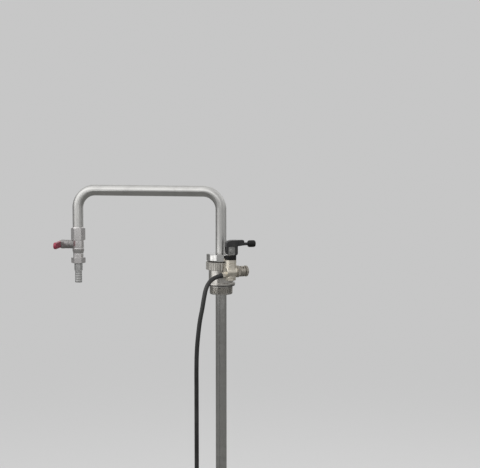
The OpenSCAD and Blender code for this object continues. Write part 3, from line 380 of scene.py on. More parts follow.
def wire(tree, *links):
    """Links outputs of nodes to inputs of others, each as (node, output, node, input)."""
    for start, output, end, socket in links:
        tree.links.new(start.outputs[output], end.inputs[socket])


# Node groups of one noise each: what it runs over, its scale, its result and its settings
NOISES = {
    "handling marks": ("Vector", "Scale", "Mask", {"Detail": 5, "Roughness": 0.62, "Distortion": 0.6}),
    "tool lines": ("Along", "Lines", "Height", {"Detail": 3, "Roughness": 0.7}),
    "grain": ("Vector", "Scale", "Height", {"Detail": 4, "Roughness": 0.7}),
}


def noise_group(name):
    """Smudges from 0, clean, to 1, or the height of tool lines or of a fine grain. Built once."""
    if name in bpy.data.node_groups:
        return bpy.data.node_groups[name]
    over, scale, result, settings = NOISES[name]
    solid = over == "Vector"
    group = bpy.data.node_groups.new(name, "ShaderNodeTree")
    socket = group.interface.new_socket
    socket(over, in_out="INPUT", socket_type="NodeSocketVector" if solid else "NodeSocketFloat")
    socket(scale, in_out="INPUT", socket_type="NodeSocketFloat")
    socket(result, in_out="OUTPUT", socket_type="NodeSocketFloat")
    into = group.nodes.new("NodeGroupInput")
    out = group.nodes.new("NodeGroupOutput")
    noise = node(group, "ShaderNodeTexNoise", settings, noise_dimensions="3D" if solid else "1D")
    wire(group, (into, over, noise, "Vector" if solid else "W"), (into, scale, noise, "Scale"))
    if result == "Mask":
        spread = node(group, "ShaderNodeMapRange", {"From Min": 0.42, "From Max": 0.7},
                      interpolation_type="SMOOTHSTEP")
        wire(group, (noise, "Fac", spread, "Value"), (spread, "Result", out, result))
    else:
        wire(group, (noise, "Fac", out, result))
    return group


def surface(name, colour, shade, rough, marks, height, bump, metallic=0.0):
    """Material whose colour and gloss follow its marks, and its nodes for bump, place and shader.

    shade is the colour where it is marked, rough the roughness clean and marked, marks the marks' scale,
    height the noise of the bump and bump its strength and distance.
    """
    material = bpy.data.materials.new(name)
    material.use_nodes = True
    tree = material.node_tree
    shader = tree.nodes["Principled BSDF"]
    shader.inputs["Metallic"].default_value = metallic
    where = node(tree, "ShaderNodeTexCoord")
    worn = node(tree, "ShaderNodeGroup", {"Scale": marks}, node_tree=noise_group("handling marks"))
    tint = node(tree, "ShaderNodeMix", {"A": (*colour, 1), "B": (*shade, 1)}, data_type="RGBA")
    gloss = node(tree, "ShaderNodeMapRange", {"To Min": rough[0], "To Max": rough[1]})
    relief = node(tree, "ShaderNodeGroup", node_tree=noise_group(height))
    press = node(tree, "ShaderNodeBump", {"Strength": bump[0], "Distance": bump[1]})
    wire(tree, (where, "Object", worn, "Vector"), (worn, "Mask", tint, "Factor"),
         (worn, "Mask", gloss, "Value"), (tint, "Result", shader, "Base Color"),
         (gloss, "Result", shader, "Roughness"), (relief, "Height", press, "Height"),
         (press, "Normal", shader, "Normal"))
    if "Vector" in relief.inputs:
        wire(tree, (where, "Object", relief, "Vector"))
    return material, relief, where, shader


def metal(name, colour, rough, axis=(0, 0, 1), marks=45.0, lines=2500.0, bump=0.04, worn=0.82, run=""):
    """Metal with its tool lines across an axis of the piece, or polished across a run in its UV map."""
    depth = 0.0002
    shade = [worn * channel for channel in colour]
    material, relief, where, shader = surface(name, colour, shade, rough, marks, "tool lines",
                                              (bump, depth), 1.0)
    tree = material.node_tree
    relief.inputs["Lines"].default_value = lines
    if run:
        along = node(tree, "ShaderNodeUVMap", uv_map=run)
        split = node(tree, "ShaderNodeSeparateXYZ")
        belt = node(tree, "ShaderNodeTangent", direction_type="UV_MAP", uv_map=run)
        shader.inputs["Anisotropic"].default_value = 0.95
        wire(tree, (along, "UV", split, "Vector"), (split, "X", relief, "Along"),
             (belt, "Tangent", shader, "Tangent"))
    else:
        along = node(tree, "ShaderNodeVectorMath", {1: axis}, operation="DOT_PRODUCT")
        wire(tree, (where, "Object", along, 0), (along, "Value", relief, "Along"))
    return material


def moulded(name, colour, shade, rough, marks, scale, bump, gloss=None):
    """Plastic or rubber with a fine grain, and some values of its shader."""
    depth = 0.0003
    material, relief, where, shader = surface(name, colour, shade, rough, marks, "grain", (bump, depth))
    relief.inputs["Scale"].default_value = scale
    for key, value in (gloss or {}).items():
        shader.inputs[key].default_value = value
    return material


def make_finish(slot):
    """Builds the material of a slot of the record, or the duller black of the knob and the collar."""
    paint = colours()
    metals = {
        "polished_stainless": {"colour": paint.steel, "rough": (0.13, 0.24), "marks": 35},
        "satin_stainless": {"colour": paint.satin, "rough": (0.26, 0.42), "lines": 1600, "bump": 0.05},
        "nickel_brass": {"colour": paint.brass, "rough": (0.38, 0.56), "lines": 1400, "bump": 0.05},
        "spring_steel": {"colour": (0.42, 0.42, 0.42), "rough": (0.3, 0.4), "marks": 120, "lines": 800},
    }
    if slot in metals:
        return metal(slot, **metals[slot])
    dipped = {"Coat Weight": 0.25, "Coat Roughness": 0.2}
    dull = {"Specular IOR Level": 0.25}
    # Colour clean, colour marked, roughness of both, scales of marks and grain, and the grain's strength
    others = {
        "black_plastic": (paint.plastic, (0.034, 0.033, 0.032), (0.36, 0.55), 60, 1500, 0.15),
        "matt_black": ((0.007, 0.007, 0.007), (0.014, 0.014, 0.013), (0.5, 0.65), 60, 1500, 0.15, dull),
        "red_grip": (paint.grip, (0.27, 0.02, 0.05), (0.3, 0.45), 50, 600, 0.06, dipped),
        "white_plastic": ((0.76, 0.76, 0.73), (0.66, 0.65, 0.61), (0.38, 0.5), 70, 1200, 0.06),
        "hose_rubber": (paint.hose, (0.026, 0.026, 0.025), (0.3, 0.42), 30, 700, 0.08),
        "black_rubber": ((0.02, 0.02, 0.02), (0.04, 0.04, 0.038), (0.6, 0.75), 90, 1100, 0.12),
    }
    return moulded(slot, *others[slot])


def finish_of(slot):
    """The material of a slot, built once."""
    if slot in bpy.data.materials and bpy.data.materials[slot].get("siphon"):
        return bpy.data.materials[slot]
    taken = bpy.data.materials.get(slot)
    if taken:
        taken.name = "frame " + slot
    made = make_finish(slot)
    made["siphon"] = True
    return made


# Pieces

# Grey of the studio's walls by height, from 0, straight down, to 1, straight up
WALL_GREYS = ((0.0, 0.14), (0.3, 0.17), (0.4, 0.3), (0.45, 0.65), (0.52, 0.7), (0.61, 0.72), (0.66, 1.38),
              (0.85, 1.4), (0.95, 1.18), (1.0, 1.0))
# Lighter and darker parts of the walls: way to the middle, cosine at the edge and change of the grey
WALL_PARTS = (((-0.71, -0.71, 0), 0.87, 0.12), ((0.84, -0.545, 0), 0.9, 0.14),
              ((-0.946, 0.326, 0), 0.9, -0.3), ((0.914, 0.407, 0), 0.866, -0.32),
              ((0, 0.73, 0.68), 0.8, -0.45), ((-0.7, -0.42, 0.58), 0.88, 0.4),
              ((0.64, -0.43, 0.64), 0.84, -0.7), ((0.6, 0.4, 0.69), 0.84, -0.35),
              ((-0.7, 0.55, 0.45), 0.82, -0.45))
WALL_EDGE = 0.08
PANEL_REACH = 0.27


class SIPHON_OT_stage(Operator):
    """Sets the camera, the pale floor and the soft light round the head"""

    bl_idname = "siphon.stage"
    bl_label = "Stage"

    def execute(self, context):
        scene = context.scene
        scene.view_settings.view_transform = "Standard"
        self.camera(scene)
        self.floor(scene)
        self.sky(scene)
        self.lamp(scene, "key", (-1.1, -1.5, 2.4), (0, 0, 0), (1.2, 1.2), 26)
        self.lamp(scene, "rim", (1.3, 1.2, 1.9), (0, 0, 0), (1.0, 1.0), 12)
        self.panels(scene, "low panel", (0, 0, 0.01), 0.05, (40, 70), (0.15, 0.09), 0.006, 58)
        drop = (BALL.x, BALL.y, 0.195)
        self.panels(scene, "drop panel", drop, 0.185, (45, 10, -25), (0.17, 0.1), 0.004, 50)
        return {"FINISHED"}

    def camera(self, scene):
        """Camera a little right of the front, which looks slightly down at the spout."""
        turn = math.radians(9)
        dip = math.radians(5.5)
        distance = 4.0
        aim = Vector((0.049, 0, 0.132))
        away = Vector((math.sin(turn) * math.cos(dip), -math.cos(turn) * math.cos(dip), math.sin(dip)))
        lens = bpy.data.cameras.new("camera")
        lens.lens = 118
        lens.sensor_width = 36
        camera = bpy.data.objects.new("camera", lens)
        camera.location = aim + distance * away
        camera.rotation_euler = away.to_track_quat("Z", "Y").to_euler()
        scene.collection.objects.link(camera)
        scene.camera = camera

    def lamp(self, scene, name, place, aim, size, power):
        """Soft light that faces a point, and that metal doesn't mirror."""
        light = bpy.data.lights.new(name, "AREA")
        light.shape = "RECTANGLE"
        light.size, light.size_y = size
        light.energy = power
        lamp = bpy.data.objects.new(name, light)
        lamp.location = place
        lamp.rotation_euler = (Vector(place) - Vector(aim)).to_track_quat("Z", "Y").to_euler()
        lamp.visible_camera = False
        lamp.visible_glossy = False
        scene.collection.objects.link(lamp)
        return lamp

    def panels(self, scene, name, middle, aim, angles, size, power, spread):
        """Small panels round the front of an upright piece, which its metal does mirror.

        middle is the place they stand round, aim the height they face, and angles run from front to left.
        """
        for angle in angles:
            turn = math.radians(angle)
            place = Vector(middle) - PANEL_REACH * Vector((math.sin(turn), math.cos(turn), 0))
            panel = self.lamp(scene, name, place, (middle[0], middle[1], aim), size, power)
            panel.visible_glossy = True
            panel.data.spread = math.radians(spread)

    def show(self, tree, lit, seen, output):
        """Lights the pieces with one shader and shows the camera another."""
        ray = node(tree, "ShaderNodeLightPath")
        either = node(tree, "ShaderNodeMixShader")
        wire(tree, (ray, "Is Camera Ray", either, "Fac"), (lit, 0, either, 1), (seen, 0, either, 2),
             (either, "Shader", tree.nodes[output], "Surface"))

    def floor(self, scene):
        """Pale round floor under the foot, which fades into the background."""
        shape = bmesh.new()
        bmesh.ops.create_circle(shape, cap_ends=True, segments=96, radius=8)
        bmesh.ops.translate(shape, verts=shape.verts, vec=(0, 0, CAD_BOX[0][2]))
        mesh = bpy.data.meshes.new("floor")
        shape.to_mesh(mesh)
        shape.free()
        floor = bpy.data.objects.new("floor", mesh)
        scene.collection.objects.link(floor)
        paper = bpy.data.materials.new("floor paper")
        paper.use_nodes = True
        tree = paper.node_tree
        tree.nodes.remove(tree.nodes["Principled BSDF"])
        pale = node(tree, "ShaderNodeBsdfDiffuse", {"Color": (0.55, 0.55, 0.55, 1)})
        dim = node(tree, "ShaderNodeBsdfDiffuse", {"Color": (0.2, 0.2, 0.195, 1)})
        far = node(tree, "ShaderNodeEmission", {"Color": (*colours().backdrop, 1)})
        where = node(tree, "ShaderNodeTexCoord")
        reach = node(tree, "ShaderNodeVectorMath", operation="LENGTH")
        fade = node(tree, "ShaderNodeMapRange", {"From Min": 1.2, "From Max": 4.5},
                    interpolation_type="SMOOTHSTEP")
        blend = node(tree, "ShaderNodeMixShader")
        wire(tree, (where, "Object", reach, 0), (reach, "Value", fade, "Value"),
             (fade, "Result", blend, "Fac"), (pale, "BSDF", blend, 1), (far, "Emission", blend, 2))
        self.show(tree, dim, blend, "Material Output")
        mesh.materials.append(paper)

    def sky(self, scene):
        """Studio of soft light: a bright ceiling, dimmer walls, a panel at each side and dark corners."""
        world = bpy.data.worlds.new("studio")
        world.use_nodes = True
        scene.world = world
        tree = world.node_tree
        light = tree.nodes["Background"]
        plain = node(tree, "ShaderNodeBackground", {"Color": (*colours().backdrop, 1)})
        where = node(tree, "ShaderNodeTexCoord")
        split = node(tree, "ShaderNodeSeparateXYZ")
        rise = node(tree, "ShaderNodeMapRange", {"From Min": -1})
        walls = node(tree, "ShaderNodeValToRGB")
        ramp = walls.color_ramp
        while len(ramp.elements) < len(WALL_GREYS):
            ramp.elements.new(0.5)
        for stop, (place, grey) in zip(ramp.elements, WALL_GREYS):
            stop.position = place
            stop.color = (grey, grey, grey, 1)
        wire(tree, (where, "Generated", split, "Vector"), (split, "Z", rise, "Value"),
             (rise, "Result", walls, "Fac"))
        total = walls
        for toward, edge, gain in WALL_PARTS:
            facing = node(tree, "ShaderNodeVectorMath", {1: toward}, operation="DOT_PRODUCT")
            part = node(tree, "ShaderNodeMapRange",
                        {"From Min": edge, "From Max": edge + WALL_EDGE, "To Max": gain},
                        interpolation_type="SMOOTHSTEP")
            add = node(tree, "ShaderNodeVectorMath", operation="ADD")
            wire(tree, (where, "Generated", facing, 0), (facing, "Value", part, "Value"),
                 (total, 0, add, 0), (part, "Result", add, 1))
            total = add
        wire(tree, (total, 0, light, "Color"))
        self.show(tree, light, plain, "World Output")


# Ports of the gas valve: heights on its axis, and the inlet's tilt in degrees
GAS_PORT_Z = 51
RELIEF_Z = 40.5
INLET_Z = 37
INLET_TILT = 11
TO_RELIEF = at(0, 0, RELIEF_Z) @ quarter("Y")
TO_INLET = at(0, 0, INLET_Z) @ Matrix.Rotation(math.radians(-90 - INLET_TILT), 4, "Y")
INLET = VALVE @ TO_INLET
# Points of the hose below its ferrule, then its straight fall every 40 mm
HOSE_POINTS = [(0, -70, 29), (-9, -80, 24), (-16.5, -90.5, 14.5), (-21.5, -98.5, 1.5), (-25, -104, -18),
               (-29, -109, -46), (-34, -113, -75), (-38, -116, -110), (-41, -118.5, -150),
               (-42, -120, -200)] + [(-42, -120, z) for z in range(-240, -761, -40)]
# Reach of the ferrule along the inlet, and length of the one at the far end
FERRULE_FROM = 24.5
FERRULE_TO = 31
END_FERRULE = 22


class SIPHON_OT_hose(Operator):
    """Lays the gas hose with its ferrules, its barb and the plug on its end"""

    bl_idname = "siphon.hose"
    bl_label = "Gas hose"

    def execute(self, context):
        start = INLET @ Vector((0, 0, FERRULE_TO))
        route = [start] + [MM * Vector(point) for point in HOSE_POINTS]
        line = bpy.data.curves.new("hose_line", "CURVE")
        line.dimensions = "3D"
        line.bevel_depth = sizes().hose / 2
        line.bevel_resolution = 6
        line.resolution_u = 6
        line.use_fill_caps = True
        run = line.splines.new("BEZIER")
        run.bezier_points.add(len(route) - 1)
        for knot, point in zip(run.bezier_points, route):
            knot.co = point
            knot.handle_left_type = "AUTO"
            knot.handle_right_type = "AUTO"
        line.materials.append(finish_of("hose_rubber"))
        hose = bpy.data.objects.new("hose_line", line)
        context.scene.collection.objects.link(hose)
        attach(hose, "head")
        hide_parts("gas_hose")
        ferrule = self.crimp(FERRULE_FROM, FERRULE_TO, 3.55, 2)
        crimp = piece("hose_crimp", ferrule, INLET, "head", ["hose_ferrule"])
        piece("hose_barb", self.barb(), INLET, "head", ["gas_barb"])
        down = Matrix.Translation(MM * Vector(HOSE_POINTS[-1])) @ quarter("X", 2) @ HEAD
        ferrule = self.crimp(0, END_FERRULE, 0, 4)
        end_crimp = piece("hose_end_crimp", ferrule, down, "head", ["hose_end_ferrule"])
        plug = piece("coupling_plug", self.plug(), down, "head", ["hose_plug"])
        return {"FINISHED"}

    def barb(self):
        """Hexagon with the ridged tail that the hose is pushed on, and its bore."""
        ridges = turned([(0, 11), (4.8, 11), (4.8, 18.5), (3.3, 18.5), (3.3, 21), (3.5, 22), (3, 24),
                         (3.5, 25), (3, 27), (3.5, 28), (3, 30), (0, 30)])
        shape = joined(hexagon(13, 18, FERRULE_FROM, 0.9), ridges)
        return carved(shape, rod(2.2, 8, 33))

    def crimp(self, bottom, top, bore, rings):
        """Ferrule with pressed rings and a rolled lip at both ends."""
        outer = 6.7
        pressed = 6.0
        lip = 0.6
        pitch = (top - bottom) / (rings + 0.5)
        outline = [(bore, bottom), (outer - lip, bottom), (outer, bottom + lip)]
        for k in range(rings):
            middle = bottom + pitch * (k + 0.75)
            outline += [(outer, middle - 0.34 * pitch), (pressed, middle - 0.16 * pitch),
                        (pressed, middle + 0.16 * pitch), (outer, middle + 0.34 * pitch)]
        outline += [(outer, top - lip), (outer - lip, top), (bore, top)]
        return softened(turned(outline), 0.25)

    def plug(self):
        """Plug of a quick coupling: hexagon, nose with the locking groove, and its bore."""
        start = END_FERRULE
        nose = start + 8
        body = turned([(0, start + 4), (5, start + 4), (5, nose + 5), (3.5, nose + 6.5), (3.5, nose + 9),
                       (5, nose + 10.5), (5, nose + 24.5), (4.4, nose + 26), (0, nose + 26)])
        body = joined(softened(body, 0.3), hexagon(14, start, nose, 1))
        return carved(body, rod(2.6, nose + 4, nose + 30))


# How far the tube reaches into the tap
SOCKET_DEPTH = 11


class SIPHON_OT_tubes(Operator):
    """Bends the spout's tube and makes the dip tube with its slotted foot"""

    bl_idname = "siphon.tubes"
    bl_label = "Tubes"

    def execute(self, context):
        steel = metal("belt_polished_tube", colours().steel, (0.32, 0.36), marks=28, lines=1800,
                      bump=0.03, worn=0.93, run="run")
        tube = piece("spout_tube", self.arch(), HEAD, "spout", ["arch_tube"], steel)
        self.wall(tube)
        radius = sizes().tube / MM / 2
        bore = radius - sizes().wall / MM
        bottom = low("dip_tube")
        top = high("dip_tube")
        collar = high("dip_tube", 0)
        rim = top - 4
        pipe = turned([(bore, bottom), (radius, bottom), (radius, rim), (collar, rim), (collar, top),
                       (bore, top)])
        piece("dip_pipe", softened(pipe, 0.3), HEAD, "head", ["dip_tube"])
        piece("sediment_foot", self.foot(bottom, radius, bore), HEAD, "head", ["dip_tube_foot"])
        return {"FINISHED"}

    def arch(self):
        """Tube that rises from the union, bends, runs level, bends again and drops into the tap."""
        radius = sizes().tube / MM / 2
        bend = sizes().bend / MM
        foot = low("arch_tube")
        level = high("arch_tube") - radius
        reach = -BALL.x / MM
        drop_end = high("tap_socket") - SOCKET_DEPTH
        shape = bmesh.new()
        run = shape.loops.layers.uv.new("run")
        start = bmesh.ops.create_circle(shape, segments=72, radius=radius)["verts"]
        bmesh.ops.translate(shape, verts=start, vec=(0, 0, foot))
        edge_ring = shape.edges[:]
        corner = level - bend
        legs = [(0, 0, corner - foot), (2 * bend - reach, 0, 0), (0, 0, drop_end - corner)]
        centres = [(-bend, 0, corner), (bend - reach, 0, corner), None]
        shares = 8
        for leg, centre in zip(legs, centres):
            for share in range(shares):
                made = bmesh.ops.extrude_edge_only(shape, edges=edge_ring)["geom"]
                bmesh.ops.translate(shape, verts=only(BMVert, made), vec=Vector(leg) / shares)
                edge_ring = [edge for edge in only(BMEdge, made) if len(edge.link_faces) < 2]
            if centre:
                made = bmesh.ops.spin(shape, geom=edge_ring, cent=centre, axis=(0, 1, 0),
                                      angle=math.radians(-90), steps=32)["geom_last"]
                edge_ring = [edge for edge in only(BMEdge, made) if len(edge.link_faces) < 2]
        bmesh.ops.remove_doubles(shape, verts=shape.verts, dist=1e-4)
        bmesh.ops.recalc_face_normals(shape, faces=shape.faces)
        for face in shape.faces:
            first = None
            for loop in face.loops:
                place = loop.vert.co
                way, out = self.along(place, level, bend, reach, foot)
                angle = math.atan2(place.y, out)
                if first is None:
                    first = angle
                angle = first + (angle - first + math.pi) % (2 * math.pi) - math.pi
                loop[run].uv = (way * MM, angle * radius * MM)
        return shape

    def along(self, place, level, bend, reach, foot):
        """Way along the tube's middle to a place on it, and how far out of the middle that lies."""
        corner = level - bend
        rise = corner - foot
        arc = bend * math.pi / 2
        flat = reach - 2 * bend
        if place.z <= corner and place.x > -reach / 2:
            return place.z - foot, place.x
        if place.x > -bend:
            arm = Vector((place.x + bend, place.z - corner))
            return rise + bend * math.atan2(arm.y, arm.x), arm.length - bend
        if place.x >= bend - reach:
            return rise + arc - bend - place.x, place.z - level
        if place.z > corner:
            arm = Vector((bend - reach - place.x, place.z - corner))
            return rise + arc + flat + bend * math.atan2(arm.x, arm.y), arm.length - bend
        return rise + 2 * arc + flat + corner - place.z, -reach - place.x

    def wall(self, tube):
        """Gives the bent tube its wall."""
        step = tube.modifiers.new("wall", "SOLIDIFY")
        step.thickness = sizes().wall
        step.offset = -1

    def foot(self, bottom, radius, bore):
        """Cap on the dip tube's end, with slots round it."""
        outer = radius + 2.55
        inner = radius + 0.05
        edge = 1.6
        end = bottom - 16
        floor = bottom - 13
        mouth = bottom + 12
        cap = turned([(0, end), (outer - edge, end), (outer, end + edge), (outer, mouth - edge),
                      (outer - edge, mouth), (inner, mouth), (inner, bottom), (bore, bottom),
                      (bore, floor), (0, floor)])
        slots = round_about(
            lambda: softened(block((bore - 4, -3.5, floor), (outer + 4, 3.5, bottom - 3)), 1.5, 3), 6)
        return softened(carved(cap, slots), 0.4)


class SIPHON_OT_head(Operator):
    """Turns the head body with its bung thread, and the fluted grip ring on it"""

    bl_idname = "siphon.head"
    bl_label = "Head"

    def execute(self, context):
        # The union thread's near-black colour is painted shade for the gap between the union nut and the grip ring
        gap_shade_paint = metal("thread_in_painted_shade", (0.12, 0.115, 0.11), (0.4, 0.55), lines=1200)
        dull = metal("tumbled_grip", colours().ring, (0.4, 0.55), lines=900, bump=0.08)
        bottom = low("head_body")
        top = high("head_body")
        shoulder = top - 7
        piece("head_neck", self.neck(bottom, shoulder, top), HEAD, "head", ["head_body"])
        piece("union_thread", self.thread(shoulder, top), HEAD, "head", ["head_body"], gap_shade_paint)
        piece("head_grip", self.grip(shoulder), HEAD, "head", ["head_body"], dull)
        return {"FINISHED"}

    def neck(self, bottom, shoulder, top):
        """Bored neck with the flange on the gasket, the seat of the union seal and the bung thread."""
        bore = 18
        seat = top - 6
        neck = turned([(bore, bottom), (27.6, bottom), (28.4, bottom + 1.5), (28.4, 2), (35.2, 2),
                       (36, 2.8), (36, 7.2), (35.2, 8), (31.5, 8), (31.5, shoulder), (30.6, shoulder),
                       (30.6, top), (22.85, top), (22.85, seat), (bore, seat)])
        pitch = 2.31
        first = bottom + 1.4
        crest = [(28.2, first), (29.8, first + 0.8), (29.8, first + 1.2), (28.2, first + 2)]
        return together([softened(neck, 0.4), helix(crest, pitch, 7.5)])

    def thread(self, shoulder, top):
        """Ring of thread that shows under the union nut, whose near-black finish is painted shade for the gap."""
        pitch = 1.8
        first = shoulder + 0.5
        crest = [(31.2, first), (31.9, first + 0.6), (31.9, first + 1), (31.2, first + 1.6)]
        return together([ring(30.55, 31.3, shoulder, top, 0.5), helix(crest, pitch, 2.5)])

    def grip(self, shoulder):
        """Ring with flutes round it and a spot face behind the gas valve."""
        outer = 38.5
        flute = 2.2
        depth = 1.1
        bottom = shoulder - 20
        shape = ring(31, outer, bottom, shoulder, 1.0)
        cutters = round_about(lambda: moved(rod(flute, bottom - 3, shoulder + 3, 24),
                                            at(outer + flute - depth, 0, 0)), sizes().flutes)
        spot = HEAD.inverted() @ VALVE @ at(0, 14.2, GAS_PORT_Z) @ quarter("X", -1)
        return softened(carved(carved(shape, cutters), moved(rod(10.8, 0, 6), spot)), 0.25)


class SIPHON_OT_union(Operator):
    """Turns the union nut with its spanner slots"""

    bl_idname = "siphon.union"
    bl_label = "Union nut"

    def execute(self, context):
        bottom = low("union_nut")
        top = high("union_nut")
        web = top - 5
        edge = 1.6
        outer = 37.5
        nut = turned([(31.95, bottom), (outer - edge, bottom), (outer, bottom + edge),
                      (outer, top - edge), (outer - edge, top), (14.5, top), (14.5, web), (31.95, web)])
        first = math.radians(37)
        slots = round_about(lambda: block((35, -9, bottom - 2), (45, 9, top + 2)), 6, first)
        nut = softened(carved(softened(nut, 0.5, 3), slots), 0.35)
        piece("union_ring", nut, HEAD, "union_nut", ["union_nut"])
        return {"FINISHED"}


# Hexagons of the tap: width across flats, and how far they are turned on their threads
TAP_FLATS = 32
HEX_TURN = 10
# Heights on the tap from its ball
BALL_Z = BALL.z / MM
SOCKET_TOP = high("tap_socket") - BALL_Z
SOCKET_SEAT = SOCKET_TOP - SOCKET_DEPTH
SKIRT = low("tap_socket") - BALL_Z
SOCKET_NOSE = SKIRT + 1.3
BODY_TOP = high("tap_body") - BALL_Z
BODY_FOOT = low("tap_body") - BALL_Z
CHAMBER_FLOOR = -12.5
# Radii in the tap: its bore, the ball's chamber, the stem's bore and the mouth for the tube
TAP_BORE = 6.5
CHAMBER = 11.4
STEM_BORE = 4.05
MOUTH = 14.05
TO_STEM = quarter("Y", -1)


class SIPHON_OT_tap(Operator):
    """Makes the tap's socket, barrel, stem boss, gland nut and ribbed tail"""

    bl_idname = "siphon.tap"
    bl_label = "Tap"

    def execute(self, context):
        bright = metal("bright_tap", colours().tap, (0.2, 0.34), lines=1500, bump=0.03)
        dull = metal("dull_gland", colours().gland, (0.55, 0.7), (1, 0, 0), lines=1200, bump=0.05)
        brushed = metal("brushed_tail", colours().tail, (0.42, 0.55), lines=1100, bump=0.05)
        piece("tap_socket_hexagon", self.socket(), TAP, "spout", ["tap_socket"], bright)
        piece("tap_barrel", self.barrel(), TAP, "spout", ["tap_body"], bright)
        piece("tap_boss", self.boss(), TAP, "spout", ["tap_body"], dull)
        gland = joined(hexagon(20, 36, 45), rod(7, 31, 37))
        piece("tap_gland", carved(gland, rod(STEM_BORE, 20, 60)), STEM, "spout", ["tap_gland_nut"], dull)
        piece("tap_tail", self.tail(), TAP, "spout", ["tap_nozzle"], brushed)
        return {"FINISHED"}

    def socket(self):
        """Hexagon with a rolled mouth for the tube above and a skirt over the body below."""
        top = SOCKET_TOP
        web = BODY_TOP + 0.5
        below = SKIRT - 3
        lining = turned([(TAP_BORE, SOCKET_NOSE), (11.35, SOCKET_NOSE), (11.35, web), (15.5, web),
                         (15.5, top - 3.5), (15.9, top - 2.9), (15.9, top - 1.3), (14.9, top),
                         (MOUTH, top), (MOUTH, SOCKET_SEAT), (TAP_BORE, SOCKET_SEAT)])
        shape = joined(hexagon(TAP_FLATS, SKIRT, top - 3, 1.6, HEX_TURN), softened(lining, 0.3))
        skirt = turned([(0, below), (13.55, below), (13.55, BODY_TOP), (CHAMBER, BODY_TOP),
                        (CHAMBER, SOCKET_NOSE), (0, SOCKET_NOSE)])
        mouth = turned([(0, SOCKET_NOSE - 3), (TAP_BORE, SOCKET_NOSE - 3), (TAP_BORE, SOCKET_SEAT),
                        (MOUTH, SOCKET_SEAT), (MOUTH, top + 3), (0, top + 3)])
        return carved(carved(shape, skirt), mouth)

    def barrel(self):
        """Round body with two grooves, a hexagon at its foot, the ball's chamber and the stem's bore."""
        foot = BODY_FOOT
        ledge = foot + 9
        edge = SKIRT - 0.2
        outline = [(0, ledge), (13.5, ledge), *groove(13.5, -24, -22.4, 0.4), (13.5, -20.5), (15, -16.5),
                   *groove(15, -9.4, -7.8, 0.4), (15, edge - 0.7), (14.3, edge), (13.5, edge),
                   (13.5, BODY_TOP), (0, BODY_TOP)]
        shape = joined(softened(turned(outline), 0.4),
                       hexagon(TAP_FLATS, foot, foot + 14, 1.6, HEX_TURN))
        passage = turned([(0, foot - 6), (8.35, foot - 6), (8.35, ledge), (TAP_BORE, ledge),
                          (TAP_BORE, CHAMBER_FLOOR), (CHAMBER, CHAMBER_FLOOR), (CHAMBER, 20), (0, 20)])
        return carved(carved(shape, passage), moved(rod(STEM_BORE, 0, 40), TO_STEM))

    def boss(self):
        """Boss on the body's side, with the stem's bore and the seat of its packing."""
        shape = turned([(STEM_BORE, 9), (11, 9), *groove(11, 22, 24.5, 0.5), (11, 35.2), (10.2, 36),
                        (7.05, 36), (7.05, 26), (STEM_BORE, 26)])
        return carved(moved(softened(shape, 0.3), TO_STEM), rod(CHAMBER, CHAMBER_FLOOR, BODY_TOP, 96))

    def tail(self):
        """Hexagon and ribbed tail of the tap's outlet."""
        end = low("tap_nozzle") - BALL_Z
        length = 31
        start = end + length
        shoulder = low("tap_nozzle_washer") - BALL_Z
        top = high("tap_nozzle") - BALL_Z
        bore = 6
        count = sizes().ribs
        pitch = length / count
        outline = [(bore, start + 3), (8.75, start + 3), (8.75, start)]
        for k in range(count):
            base = start - pitch * k
            outline += [(9.15, base - 0.24 * pitch), (9.25, base - 0.3 * pitch),
                        (9.15, base - 0.38 * pitch), (8.75, base - 0.98 * pitch)]
        outline += [(8.2, end), (bore, end)]
        body = joined(turned(outline), hexagon(18.5, start, shoulder, 1.2, HEX_TURN))
        spigot = turned([(bore, shoulder - 8), (8.3, shoulder - 8), (8.3, top - 0.5), (7.8, top),
                         (bore, top)])
        return carved(joined(body, spigot), rod(bore, end - 10, top + 10))


class SIPHON_OT_tap_lever(Operator):
    """Makes the tap's lever plate, its red grip and its nut"""

    bl_idname = "siphon.tap_lever"
    bl_label = "Tap lever"

    def execute(self, context):
        back = 45.2
        front = 49.2
        tip = -49.5
        plate = joined(rod(10, back, front, 96), block((-6.5, tip, back), (6.5, 0, front)))
        plate = joined(plate, moved(rod(6.5, back, front), at(0, tip, 0)))
        square = block((-2.55, -2.55, back - 3), (2.55, 2.55, front + 3))
        plate = carved(softened(plate, 0.5, 2, 50), square)
        piece("lever_plate", plate, STEM, "tap_lever", ["tap_lever"])
        piece("lever_grip", self.sleeve(back, front, tip), STEM, "tap_lever", ["tap_lever_grip"])
        nut = carved(hexagon(10, 50.4, 55.4, 0.8), rod(2.55, 48, 58, 32))
        piece("lever_nut", nut, STEM, "tap_lever", ["tap_lever_nut"])
        return {"FINISHED"}

    def sleeve(self, back, front, tip):
        """Dipped grip, thick and round at the tip, with a rolled lip at its mouth."""
        wall = 2.0
        half = 8.5
        shape = block((-half, tip - half, back - wall), (half, -9, front + wall))
        corners = [edge for edge in edges_along(shape, 2) if all(end.co.y < tip for end in edge.verts)]
        shape = softened(rounded(shape, corners, half * 0.99, 12), 2.2, 4, 50)
        pocket = joined(block((-6.55, tip, back - 0.05), (6.55, 10, front + 0.05)),
                        moved(rod(6.55, back - 0.05, front + 0.05), at(0, tip, 0)))
        shape = carved(shape, pocket)
        return carved(shape, rod(13, back - 10, front + 10, 96))


